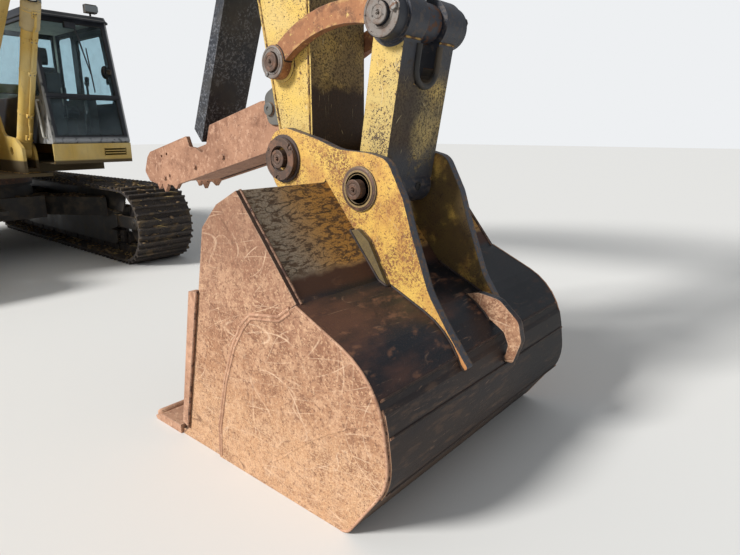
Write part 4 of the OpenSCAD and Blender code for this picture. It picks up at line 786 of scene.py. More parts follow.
def pipe_tree():
    """A pipe, rail or seal along the edges of a mesh."""
    tree, given = new_tree("Pipe", [("Radius", "Float", 0.01), ("Sides", "Int", 12)])
    curve = add(tree, "GeometryNodeMeshToCurve", {"Mesh": given["Geometry"]})
    return close_tree(tree, given, tube_along(tree, given, curve))


def tube_along(tree, given, curve):
    """A round tube along curves."""
    circle = add(tree, "GeometryNodeCurvePrimitiveCircle",
                 {"Resolution": given["Sides"], "Radius": given["Radius"]})
    tube = add(tree, "GeometryNodeCurveToMesh", {"Curve": curve, "Profile Curve": circle, "Fill Caps": True})
    return add(tree, "GeometryNodeSetShadeSmooth", {"Geometry": tube})


def scatter_tree():
    """Copies of a small shape on points that say which way it faces and how big it is."""
    tree, given = new_tree("Scatter", [("Shape", "Object", None), ("Spin", "Float", 0.0), ("Seed", "Int", 1)])
    facing = add(tree, "GeometryNodeInputNamedAttribute", {"Name": "facing"}, data_type="FLOAT_VECTOR")
    along = add(tree, "GeometryNodeInputNamedAttribute", {"Name": "along"}, data_type="FLOAT_VECTOR")
    size = add(tree, "GeometryNodeInputNamedAttribute", {"Name": "size"}, data_type="FLOAT")
    turn = add(tree, "FunctionNodeAxesToRotation", {0: facing, 1: along},
               primary_axis="Z", secondary_axis="X")
    chance = add(tree, "FunctionNodeRandomValue", {3: given["Spin"], "Seed": given["Seed"]},
                 data_type="FLOAT")
    spin = add(tree, "ShaderNodeCombineXYZ", {2: chance.outputs[1]})
    spun = add(tree, "FunctionNodeRotateRotation", {0: turn, 1: spin}, rotation_space="LOCAL")
    shape = add(tree, "GeometryNodeObjectInfo", {"Object": given["Shape"]})
    copies = add(tree, "GeometryNodeInstanceOnPoints", {
        "Points": given["Geometry"], "Instance": shape.outputs["Geometry"], "Rotation": spun,
        "Scale": size})
    return close_tree(tree, given, copies)


def litter_tree():
    """Lumps or stalks that lie on the upward faces of a mesh."""
    tree, given = new_tree("Litter", [
        ("Shape", "Object", None), ("Density", "Float", 60.0), ("Least", "Float", 0.5),
        ("Most", "Float", 1.2), ("Tilt", "Float", 0.3), ("Seed", "Int", 1)])
    points = add(tree, "GeometryNodeDistributePointsOnFaces", {
        "Mesh": given["Geometry"], "Density": given["Density"], "Seed": given["Seed"]})
    tilt = add(tree, "ShaderNodeMath", {0: given["Tilt"], 1: -1.0}, operation="MULTIPLY")
    low = add(tree, "ShaderNodeCombineXYZ", {0: tilt, 1: tilt, 2: -math.pi})
    high = add(tree, "ShaderNodeCombineXYZ", {0: given["Tilt"], 1: given["Tilt"], 2: math.pi})
    turn = add(tree, "FunctionNodeRandomValue", {0: low, 1: high, "Seed": given["Seed"]},
               data_type="FLOAT_VECTOR")
    size = add(tree, "FunctionNodeRandomValue", {2: given["Least"], 3: given["Most"], "Seed": given["Seed"]},
               data_type="FLOAT")
    shape = add(tree, "GeometryNodeObjectInfo", {"Object": given["Shape"]})
    copies = add(tree, "GeometryNodeInstanceOnPoints", {
        "Points": points, "Instance": shape.outputs["Geometry"], "Rotation": turn,
        "Scale": size.outputs[1]})
    return close_tree(tree, given, copies)


TREES = {}


def grow(kind, name, mesh, body, material, shape=None, **values):
    """Runs a tree over a mesh and keeps what it makes as one plain piece."""
    if not TREES:
        TREES.update(bead=bead_tree(), pipe=pipe_tree(), scatter=scatter_tree(), litter=litter_tree())
    carrier = new_object(name + "_carrier", mesh)
    values["Material"] = MATERIALS[material]
    if shape:
        values["Shape"] = new_object(name + "_shape", shape)
    modifier = carrier.modifiers.new("Growth", "NODES")
    modifier.node_group = TREES[kind]
    for item in TREES[kind].interface.items_tree:
        if item.in_out == "INPUT" and item.name in values:
            modifier[item.identifier] = values[item.name]
    made = baked(carrier)
    made.name = name
    bpy.data.objects.remove(carrier)
    if shape:
        bpy.data.objects.remove(values["Shape"])
    if not made.polygons:
        raise RuntimeError(name + " came out empty")
    return finish_object(name, made, body, material)


def wires(lines):
    """A mesh of edges from lines of points in metres, joined where they meet."""
    work = bmesh.new()
    for line in lines:
        made = [work.verts.new(p) for p in line]
        for a, b in zip(made, made[1:]):
            work.edges.new((a, b))
    bmesh.ops.remove_doubles(work, verts=work.verts, dist=0.0005)
    return mesh_from(work, "Lines")


def pipe(name, place, paths, radius_mm, body, material, sides=12, bend_mm=60):
    """Pipes through points in millimetres, with bends."""
    lines = [bent([place @ Vector(p) for p in path], bend_mm * MM) for path in paths]
    return grow("pipe", name, wires(lines), body, material, Radius=radius_mm * MM, Sides=sides)


class Spots:
    """Points that carry a small shape: where it stands, the way it faces and its size in millimetres."""

    def __init__(self):
        self.rows = []

    def put(self, place, at, facing, size, along=(0.0, 0.0, 0.0)):
        """One point. A shape drawn in millimetres has size 1, and a shape of unit radius its radius."""
        turn = place.to_3x3()
        facing = (turn @ Vector(facing)).normalized()
        along = turn @ Vector(along) if any(along) else facing.orthogonal()
        self.rows.append((place @ Vector(at), facing, along.normalized(), size * MM))

    def ring(self, place, centre, facing, radius, count, size, start=0.0):
        """A circle of them on a face."""
        facing = Vector(facing)
        side = Vector((1, 0, 0)) if abs(facing.x) < 0.9 else Vector((0, 1, 0))
        up = facing.cross(side)
        for i in range(count):
            a = 2 * math.pi * i / count + math.radians(start)
            self.put(place, Vector(centre) + radius * (side * math.cos(a) + up * math.sin(a)), facing, size)

    def grow(self, name, body, material, shape=None, spin=0.0, seed=1):
        """A small shape on each point: a bolt's head where none is given."""
        mesh = bpy.data.meshes.new(name)
        mesh.from_pydata([row[0] for row in self.rows], [], [])
        for label, column in (("facing", 1), ("along", 2)):
            layer = mesh.attributes.new(label, "FLOAT_VECTOR", "POINT")
            layer.data.foreach_set("vector", [c for row in self.rows for c in row[column]])
        layer = mesh.attributes.new("size", "FLOAT", "POINT")
        layer.data.foreach_set("value", [row[3] for row in self.rows])
        return grow("scatter", name, mesh, body, material, shape or bolt_shape(), Spin=spin, Seed=seed)


UNIT = Matrix.Identity(4)


def bolt_shape():
    """A hexagon bolt head on its washer, 1 across its corners' radius."""
    work = Work(UNIT)
    work.lathe([[0, 1.3], [0.18, 1.3], [0.18, 0.9]], (0, 0, 0), (0, 0, 1), 10)
    work.lathe([[0.1, 1.0], [0.75, 1.0], [0.85, 0.85]], (0, 0, 0), (0, 0, 1), 6)
    return work.done("Bolt_head", sharp=20)


# What the solids' own edges give

def joined(node):
    """A copy of a node's mesh with its loose triangles merged and its flat faces joined."""
    work = bmesh.new()
    work.from_mesh(NODES[node].data)
    bmesh.ops.remove_doubles(work, verts=work.verts, dist=0.00002)
    bmesh.ops.dissolve_limit(work, angle_limit=math.radians(0.5), verts=work.verts, edges=work.edges)
    return work


def surface_of(node):
    """A node's surface, for rays and nearest points."""
    work = joined(node)
    surface = BVHTree.FromBMesh(work)
    work.free()
    return surface


def corners(node, keep=None, least_mm=10):
    """The inner corners of a node, where its plates are welded to each other."""
    work = joined(node)
    lines = []
    for edge in work.edges:
        if edge.is_manifold and edge.calc_face_angle_signed() < -CORNER:
            a, b = (v.co.copy() for v in edge.verts)
            if (a - b).length > least_mm * MM and (keep is None or keep((a + b) / 2)):
                lines.append([a, b])
    work.free()
    return lines


def feet(node, others, reach_mm=2.5, keep=None):
    """The outer edges of a node that stand on other nodes, where it is welded to them."""
    grounds = [surface_of(other) for other in others]
    work = joined(node)
    lines = []
    for edge in work.edges:
        if not edge.is_manifold or edge.calc_face_angle_signed() < CORNER:
            continue
        a, b = (v.co.copy() for v in edge.verts)
        if keep is not None and not keep((a + b) / 2):
            continue
        if any(all(ground.find_nearest(p, reach_mm * MM)[0] for p in (a, (a + b) / 2, b))
               for ground in grounds):
            lines.append([a, b])
    work.free()
    return lines


def rims(node, y_mm, inward_mm=0.0, shift_mm=0.0, keep=None):
    """The outline of a node's side faces at a distance from the centre plane, moved inward on the face or
    along Y toward the centre plane."""
    work = joined(node)
    found, push = [], {}
    for edge in work.edges:
        if not edge.is_manifold or abs(abs(edge.verts[0].co.y) - y_mm * MM) > 0.0006:
            continue
        flat = [abs(f.normal.y) > 0.99 for f in edge.link_faces]
        if flat[0] == flat[1] or edge.calc_face_angle_signed() < CORNER:
            continue
        if keep is not None and not keep((edge.verts[0].co + edge.verts[1].co) / 2):
            continue
        other = edge.link_faces[flat.index(False)].normal
        for v in edge.verts:
            push[v] = push.get(v, Vector()) + other
        found.append(edge)
    moved = {v: v.co - n.normalized() * inward_mm * MM - Vector((0, math.copysign(shift_mm * MM, v.co.y), 0))
             for v, n in push.items()}
    lines = [[moved[v] for v in edge.verts] for edge in found]
    work.free()
    return lines


def clear_of(places):
    """True away from pins, each a (place, radius in mm)."""
    return lambda p: all((Vector((p.x, 0, p.z)) - Vector((c.x, 0, c.z))).length > r * MM for c, r in places)


# Operators

class EXCAVATOR_OT_finishes(bpy.types.Operator):
    """Gives every solid its paint, rust or bare metal"""
    bl_idname = "excavator.finishes"
    bl_label = "Finishes"

    def execute(self, context):
        make_materials()
        for name, node in NODES.items():
            node.data.materials.clear()
            node.data.materials.append(MATERIALS[FINISH[name]])
        return {"FINISHED"}


class EXCAVATOR_OT_welds(bpy.types.Operator):
    """Lays the weld beads where plates meet"""
    bl_idname = "excavator.welds"
    bl_label = "Weld beads"

    def execute(self, context):
        looks = context.scene.excavator_looks
        pins = clear_of([(BUCKET_PIN, 125), (LINK_PIN, 112)])
        beads = [
            ("Bucket_welds", "bucket", "rust_weld", 6.5, 7, corners("bucket_shell")
             + rims("bucket_shell", 808, 0, 26, lambda p: p.z > 0.93)),
            ("Bucket_rims", "bucket", "rust", 6, 11,
             rims("bucket_shell", 817, 3, 3, lambda p: p.x > HEEL_X - 0.25)),
            ("Ear_welds", "bucket", "rust_weld", 8, 8, feet("bucket_ears", ["bucket_shell"], 3.0, pins)),
            ("Gusset_welds", "bucket", "yellow_weld", 5, 8, corners("bucket_ears", pins)),
            ("Cutter_welds", "bucket", "rust_weld", 7, 8, feet("bucket_cutters", ["bucket_shell"], 10.0)),
            ("Link_welds", "bucket_link", "yellow_weld", 6, 8,
             corners("bucket_link", clear_of([(ROD_PIN, 60)]))),
            ("Idler_welds", "idler_links", "rust_weld", 5, 8,
             corners("idler_links", clear_of([(IDLER_PIN, 60), (ROD_PIN, 60)]), 4)),
            ("Arm_seams", "arm", "yellow_weld", 6, 9, rims("arm", 200, 16, 0, clear_of([(BUCKET_PIN, 118)]))
             + corners("arm", clear_of([(BUCKET_PIN, 70), (IDLER_PIN, 60)]))),
            ("Thumb_welds", "arm", "rust_weld", 6, 9,
             corners("thumb_plates") + feet("thumb_brace", ["arm"], 3.0)),
            ("Boom_seams", "boom", "yellow_weld", 7, 10,
             rims("boom", 250, 18) + corners("boom", clear_of([(ARM_PIN, 80)]))),
            ("Upper_welds", "upper", "yellow_weld", 7, 12,
             corners("revolving_frame", clear_of([(BOOM_FOOT, 60)]))),
            ("Undercarriage_welds", "undercarriage", "track", 8, 12,
             corners("car_body") + corners("track_frames") + feet("car_body", ["track_frames"], 2.0)),
        ]
        # the wear plate's upper and front edge on each side, as a doubled bead, and the crease below it
        edge = [(-318, 908), (-392, 856), (-476, 842), (-579, 825), (-648, 763), (-719, 649),
                (-802, 450), (-874, 185), (-888, 20)]
        crease = [(-500, 128), (-400, 195), (-300, 283), (-200, 362), (-109, 424), (0, 488), (100, 536)]
        outer, inner, fold = [], [], []
        lip = [(x + 17 * (0.4 if z > 800 else 1), z - (17 if z > 700 else 6)) for x, z in edge]
        for side in (-1, 1):
            outer.append([BUCKET @ Vector((x, side * 812, z)) for x, z in edge])
            inner.append([BUCKET @ Vector((x, side * 815, z)) for x, z in lip])
            fold.append([BUCKET @ Vector((x, side * 810, z)) for x, z in crease])
        beads += [("Wear_plate_bead", "bucket", "rust", 9, 9, outer),
                  ("Wear_plate_lip", "bucket", "rust", 7, 13, inner),
                  ("Side_crease", "bucket", "bucket", 10, 17, fold)]
        # seams across the shell's back, at four heights in metres, in beads laid near-black as painted shadow
        # lines under the steps
        shell = surface_of("bucket_shell")
        seams, seam_step = [], 0.0799
        for z in (0.642, 0.505, 0.262, 0.226):
            hit = shell.ray_cast(Vector((HEEL_X + 1, -0.6, z)), Vector((-1, 0, 0)))[0]
            seams.append([Vector((hit.x, i * seam_step, z)) for i in range(-10, 11)])
        beads.append(("Back_seams", "bucket", "rust_weld", 6, 11, seams))
        for name, body, material, radius, pitch, lines in beads:
            grow("bead", name, wires(lines), body, material, Radius=radius * MM, Pitch=pitch * MM,
                 Ripple=looks.ripple, Sides=6)
        return {"FINISHED"}


class EXCAVATOR_OT_pins(bpy.types.Operator):
    """Dresses the pins with end caps, keeper plates, rings and grease nipples"""
    bl_idname = "excavator.pins"
    bl_label = "Pin ends"

    def cap(self, work, x, z, y, radius):
        """A turned face with a groove and a grease hole on a pin's end."""
        side = math.copysign(1, y)
        work.lathe([[-2, radius + 1.5], [3, radius + 1.5], [5, radius - 1], [5, radius * 0.72],
                    [2.5, radius * 0.66], [2.5, radius * 0.56], [5, radius * 0.50], [5, 12], [0, 9],
                    [0, 0]], (x, y, z), (0, side, 0), 28)
        work.lathe([[0, 6], [9, 6], [11, 4], [15, 4], [16, 0]], (x, y, z), (0, side, 0), 8)

    def keeper(self, work, bolts, x, z, y, radius, angle):
        """A flat keeper that grips a flat on the pin, bolted to the boss beside it."""
        side = math.copysign(1, y)
        turn = math.radians(angle)
        place = work.place
        work.place = place @ Matrix.Translation((x, 0, z)) @ Matrix.Rotation(-turn, 4, "Y")
        work.box((radius * 0.62, radius + 34), sorted((y - side * 2, y + side * 8)), (-30, 30), 3)
        for z_bolt in (-16, 16):
            bolts.put(work.place, (radius + 18, y + side * 8, z_bolt), (0, side, 0), 9)
        work.place = place

    def execute(self, context):
        groups = [
            ("boom", BOOM, [(6400, 0, 295, 55, 200, 262), (3350, 1530, 131, 50, 250, 113)]),
            ("upper", MACHINE, [(150, 2030, 343, 55, 120, 318), (830, 1360, 515, 50, 60, 500)]),
            ("arm", ARM, [(2709, 5, 278, 45, 90, 0), (450, 720, 142, 45, 70, 127),
                          (-902, 383, 215, 50, 180, 200)]),
        ]
        for body, place, rows in groups:
            work, bolts = Work(place), Spots()
            for x, z, y, radius, angle, keeper_y in rows:
                for side in (-1, 1):
                    self.cap(work, x, z, side * y, radius)
                    if keeper_y:
                        self.keeper(work, bolts, x, z, side * keeper_y, radius, angle)
            work.done("Pin_ends_" + body, body, "pins")
            bolts.grow("Pin_bolts_" + body, body, "zinc")

        # idler links: turned faces on the bosses, and a hexagon bolt beside each pin
        work, bolts = Work(IDLER), Spots()
        reach = (ROD_PIN - IDLER_PIN).length / MM
        for side in (-1, 1):
            for x, boss, pin_y in ((0, 82, 278), (reach, 98, 286)):
                work.lathe([[0, boss - 3], [5, boss - 4], [6, boss - 12], [3, boss - 15], [3, 62],
                            [6, 60], [6, 50], [0, 47]], (x, side * 264, 0), (0, side, 0), 36)
                if x:
                    self.cap(work, x, 0, side * pin_y, 45)
            bolts.put(IDLER, (reach + 76, side * 266, 6), (0, side, 0), 20)
            bolts.put(IDLER, (-50, side * 264, -46), (0, side, 0), 13)
        work.done("Idler_faces", "idler_links", "boss")
        bolts.grow("Idler_bolts", "idler_links", "zinc")

        # bucket: a slotted ring round the bucket pin, turned rings round the link pin, bolts and pin faces
        work, ring, bolts = Work(BUCKET), Work(BUCKET), Spots()
        pivot = ((BUCKET_PIN.x - HEEL_X) / MM, BUCKET_PIN.z / MM)
        link = ((LINK_PIN.x - HEEL_X) / MM, LINK_PIN.z / MM)
        steps = 72
        slots = [math.radians(a) for a in (35, 150, 262)]
        for side in (-1, 1):
            rings = []
            for y, radius in ((292, 108), (299, 108), (301, 106), (301, 66), (292, 66)):
                places = []
                for i in range(steps):
                    a = 2 * math.pi * i / steps
                    off = [abs((a - slot + math.pi) % (2 * math.pi) - math.pi) for slot in slots]
                    cut = radius > 66 and min(off) < 0.13
                    reach = 86 if cut else radius
                    places.append((pivot[0] + reach * math.cos(a), side * y, pivot[1] + reach * math.sin(a)))
                rings.append(ring.points(places))
            ring.skin(rings + rings[:1], steps)
            work.lathe([[0, 101], [3, 101], [5, 97], [5, 88], [2, 86], [2, 80], [7, 78], [7, 70], [0, 68]],
                       (link[0], side * 272, link[1]), (0, side, 0), 40)
            for x, z in (pivot, link):
                self.cap(work, x, z, side * 310, 45)
            for a in slots:
                bolts.put(BUCKET, (pivot[0] + 97 * math.cos(a), side * 293, pivot[1] + 97 * math.sin(a)),
                          (0, side, 0), 9)
        work.done("Bucket_pin_faces", "bucket", "pins")
        ring.done("Bucket_pin_rings", "bucket", "pins")
        bolts.grow("Bucket_pin_bolts", "bucket", "pins")
        return {"FINISHED"}


class EXCAVATOR_OT_rams(bpy.types.Operator):
    """Fits the cylinders with ports, feed pipes, clamps, gland bolts and rod wipers"""
    bl_idname = "excavator.rams"
    bl_label = "Cylinder fittings"

    def execute(self, context):
        # name, body, its joints' first word, barrel's length and radius, rod's radius, places across, side
        # of the ports, and whether tape is wound round the gland
        rams = [
            ("Boom_ram", "boom_barrels", "boom", 1800, 85, 50, (-400, 400), -1, 1),
            ("Arm_ram", "arm_barrel", "arm", 2200, 92, 55, (0,), -1, 0),
            ("Bucket_ram", "bucket_barrel", "bucket", 1400, 82, 48, (0,), 1, 0),
        ]
        for name, body, group, length, radius, rod, lines, up, wrap in rams:
            way = Vector(JOINTS[group + "_rod_slide"]["axis"])
            place = frame_at(pin_place(group + "_barrel_pivot"), way)
            work, dark, cloth, bolts, pipes = Work(place), Work(place), Work(place), Spots(), []
            head = length - 130
            for y in lines:
                across = radius + 26
                # gland: chamfered nose, a wiper ring and its bolts
                work.lathe([[-3, radius + 10.5], [6, radius + 10.5], [14, radius + 4], [14, rod + 22],
                            [20, rod + 16], [20, rod + 3], [0, rod + 2]], (length, y, 0), (1, 0, 0), 32)
                dark.lathe([[18, rod + 12], [27, rod + 10], [30, rod + 5], [30, rod + 1.2], [14, rod + 1.2]],
                           (length, y, 0), (1, 0, 0), 32)
                bolts.ring(place, (length + 14, y, 0), (1, 0, 0), rod + 29, 8, 8, 22)
                for x in (length - 96, length - 60):
                    work.lathe([[0, radius + 10], [4, radius + 14], [14, radius + 14], [18, radius + 10]],
                               (x, y, 0), (1, 0, 0), 32)
                # foot: weld collar and a grease nipple
                work.lathe([[0, radius - 2], [6, radius + 6], [18, radius + 4], [24, radius - 2]],
                           (150, y, 0), (1, 0, 0), 32)
                dark.lathe([[0, 8], [12, 8], [14, 5], [22, 5], [23, 0]], (-70, y, up * 62),
                           (-0.7, 0, up * 0.7), 8)
                # ports and the pipes between them
                for x, out in ((head + 30, across), (232, across)):
                    work.box((x - 34, x + 34), (y - 26, y + 26),
                             sorted((up * (radius - 22), up * (out + 6))), 5)
                    bolts.ring(place, (x, y, up * (out + 6)), (0, 0, up), 19, 4, 5.5, 45)
                pipes.append([(head + 30, y, up * (across + 4)), (head + 30, y, up * (across + 34)),
                              (head - 90, y, up * (across + 34)), (head - 130, y, up * (across + 2)),
                              (420, y, up * (across + 2)), (380, y, up * (across + 34)),
                              (300, y, up * (across + 34))])
                pipes.append([(232, y, up * (across + 4)), (232, y, up * (across + 44)),
                              (330, y, up * (across + 62))])
                for x in (head - 260, (head + 400) / 2, 520):
                    work.box((x - 22, x + 22), (y - 30, y + 30),
                             sorted((up * (radius - 16), up * (across + 21))), 5)
                    work.lathe([[-14, radius - 4], [-12, radius + 4], [12, radius + 4], [14, radius - 4]],
                               (x, y, 0), (1, 0, 0), 32)
                    for side in (-1, 1):
                        bolts.put(place, (x, y + side * 22, up * (across + 20)), (0, 0, up), 6.5)
                if wrap:
                    rows = [[0, radius + 2]]
                    for i in range(1, 22):
                        rows.append([i * 14, radius + 15 + 4 * noise.noise(Vector((i * 0.9, y, 1.7)))])
                    cloth.lathe(rows + [[22 * 14, radius + 2]], (length - 290, y, 0), (1, 0, 0), 28)
            work.done(name + "_fittings", body, "yellow")
            dark.done(name + "_wipers", body, "rubber")
            if wrap:
                cloth.done(name + "_wrap", body, "wrap", 80)
            else:
                cloth.mesh.free()
            pipe(name + "_pipes", place, pipes, 13, body, "yellow", 12, 26)
            bolts.grow(name + "_bolts", body, "zinc")
        return {"FINISHED"}


class EXCAVATOR_OT_tracks(bpy.types.Operator):
    """Adds the chains' link plates, the shoe bolts, and the caps and bolts of rollers, idlers and drives"""
    bl_idname = "excavator.tracks"
    bl_label = "Chains and rollers"

    def execute(self, context):
        gauge, pitch, shoes, half_span = 2590, 216, 48, 4015 / 2
        rollers, roller_run = 8, 2 * half_span - 860
        radius = (shoes * pitch - 4 * half_span) / (2 * math.pi)
        rail = -radius + 52              # where the chain's rails end above its pins, from the axle
        # the drive's boss is 235 mm in radius and its foot is the frames' lowest point
        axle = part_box("track_frames")[0].z / MM + 235

        def chain(s):
            """The place and outward direction on the chain at a length from the middle of the ground run."""
            s %= shoes * pitch
            arc = math.pi * radius
            if s < half_span or s > shoes * pitch - half_span:
                return Vector((s if s < half_span else s - shoes * pitch, 0, -radius)), Vector((0, 0, -1))
            if half_span + arc < s < 3 * half_span + arc:
                return Vector((2 * half_span + arc - s, 0, radius)), Vector((0, 0, 1))
            front = s < 2 * half_span + arc
            start, centre = (half_span, half_span) if front else (3 * half_span + arc, -half_span)
            a = (s - start) / radius + (0 if front else math.pi) - math.pi / 2
            out = Vector((math.cos(a), 0, math.sin(a)))
            return Vector((centre, 0, 0)) + radius * out, out

        link = Work(UNIT)
        waist = [[-108, -26, 8], [-70, -40, 20], [-30, -32, 20], [30, -32, 20], [70, -40, 20], [108, -26, 8],
                 [116, 0, 20], [108, 30, 12], [-108, 30, 12], [-116, 0, 20]]
        link.place = Matrix.Rotation(math.pi, 4, "X")
        link.plate(rounded(waist, 1), (-8, 8), 2)
        link_mesh = link.done("Link_plate")
        pin = Work(UNIT)
        pin.lathe([[0, 1.0], [0.5, 1.0], [0.6, 0.8], [0.6, 0.35], [0.4, 0.3], [0.4, 0]],
                  (0, 0, 0), (0, 0, 1), 10)
        pin_mesh = pin.done("Track_pin_end")
        cap = Work(UNIT)
        cap.lathe([[0, 1.0], [0.12, 1.0], [0.2, 0.88], [0.2, 0.4], [0.32, 0.34], [0.32, 0]],
                  (0, 0, 0), (0, 0, 1), 16)
        cap_mesh = cap.done("Roller_cap")

        links, track_pins, bolts, caps = Spots(), Spots(), Spots(), Spots()
        for track in (-1, 1):
            place = MACHINE @ Matrix.Translation((0, track * gauge / 2, axle))
            for i in range(shoes):
                at, out = chain(i * pitch)
                along = Vector((-out.z, 0, out.x))
                for side in (-1, 1):
                    links.put(place, at + Vector((0, side * (104 if i % 2 else 111), 0)), out, 1, along)
                    mid, _ = chain((i + 0.5) * pitch)
                    track_pins.put(place, mid + Vector((0, side * 113, 0)), (0, side, 0), 17)
                    for step in (-48, 48):
                        shoe = at + out * 68 + along * step + Vector((0, side * 68, 0))
                        bolts.put(place, shoe, out, 14)
            caps.put(place, (-half_span, track * 185, 0), (0, track, 0), 120)
            bolts.ring(place, (-half_span, track * 185, 0), (0, track, 0), 165, 12, 13)
            bolts.ring(place, (-half_span, track * 32, 0), (0, track, 0), 252, 16, 13, 8)
            for side in (-1, 1):
                caps.put(place, (half_span, side * 170, 0), (0, side, 0), 70)
                bolts.ring(place, (half_span, side * 75, 0), (0, side, 0), 130, 8, 12)
                for i in range(rollers):
                    x = -half_span + 450 + i * roller_run / (rollers - 1)
                    caps.put(place, (x, side * 150, rail + 85), (0, side, 0), 40)
                    for step in (-32, 32):
                        bolts.put(place, (x + step, side * 150, rail + 112), (0, side, 0), 9)
        body = "undercarriage"
        links.grow("Track_links", body, "track", link_mesh)
        track_pins.grow("Track_pins", body, "track", pin_mesh)
        bolts.grow("Track_bolts", body, "track", spin=math.pi / 3)
        caps.grow("Roller_caps", body, "under", cap_mesh)

        # guards that keep the chain on its rollers, and the tensioner's covers
        work = Work()
        foot = axle + rail
        for track in (-1, 1):
            for side in (-1, 1):
                y = track * gauge / 2 + side * 176
                inner = side != track
                for x, long in ((-1560, 3080),) if inner else ((-760, 280), (480, 280)):
                    work.hull([(x + dx, y + dy, z) for dx, z in (
                        (0, foot + 40), (0, foot + 190), (long, foot + 190), (long, foot + 40),
                        (60, foot + 6), (long - 60, foot + 6)) for dy in (-8, 8)])
                if inner:
                    # mud guard between the frame and the chain's upper run
                    y, upper = track * gauge / 2 + side * 150, axle + radius + 10
                    work.hull([(x, y + dy, z) for x, z in (
                        (-1700, 600), (-1840, upper), (1840, upper), (1700, 600)) for dy in (-6, 6)])
            y = track * (gauge / 2 + 190)
            work.box((900, 1240), sorted((y - track * 4, y + track * 8)), (430, 560), 5)
            work.box((-1300, -1020), sorted((y - track * 4, y + track * 8)), (430, 560), 5)
        work.done("Track_guards", body, "under")
        covers = Spots()
        for track in (-1, 1):
            for x0, x1 in ((900, 1240), (-1300, -1020)):
                for x, z in itertools.product((x0 + 24, x1 - 24), (454, 536)):
                    covers.put(MACHINE, (x, track * (gauge / 2 + 198), z), (0, track, 0), 10)
        covers.grow("Cover_bolts", body, "under")
        return {"FINISHED"}


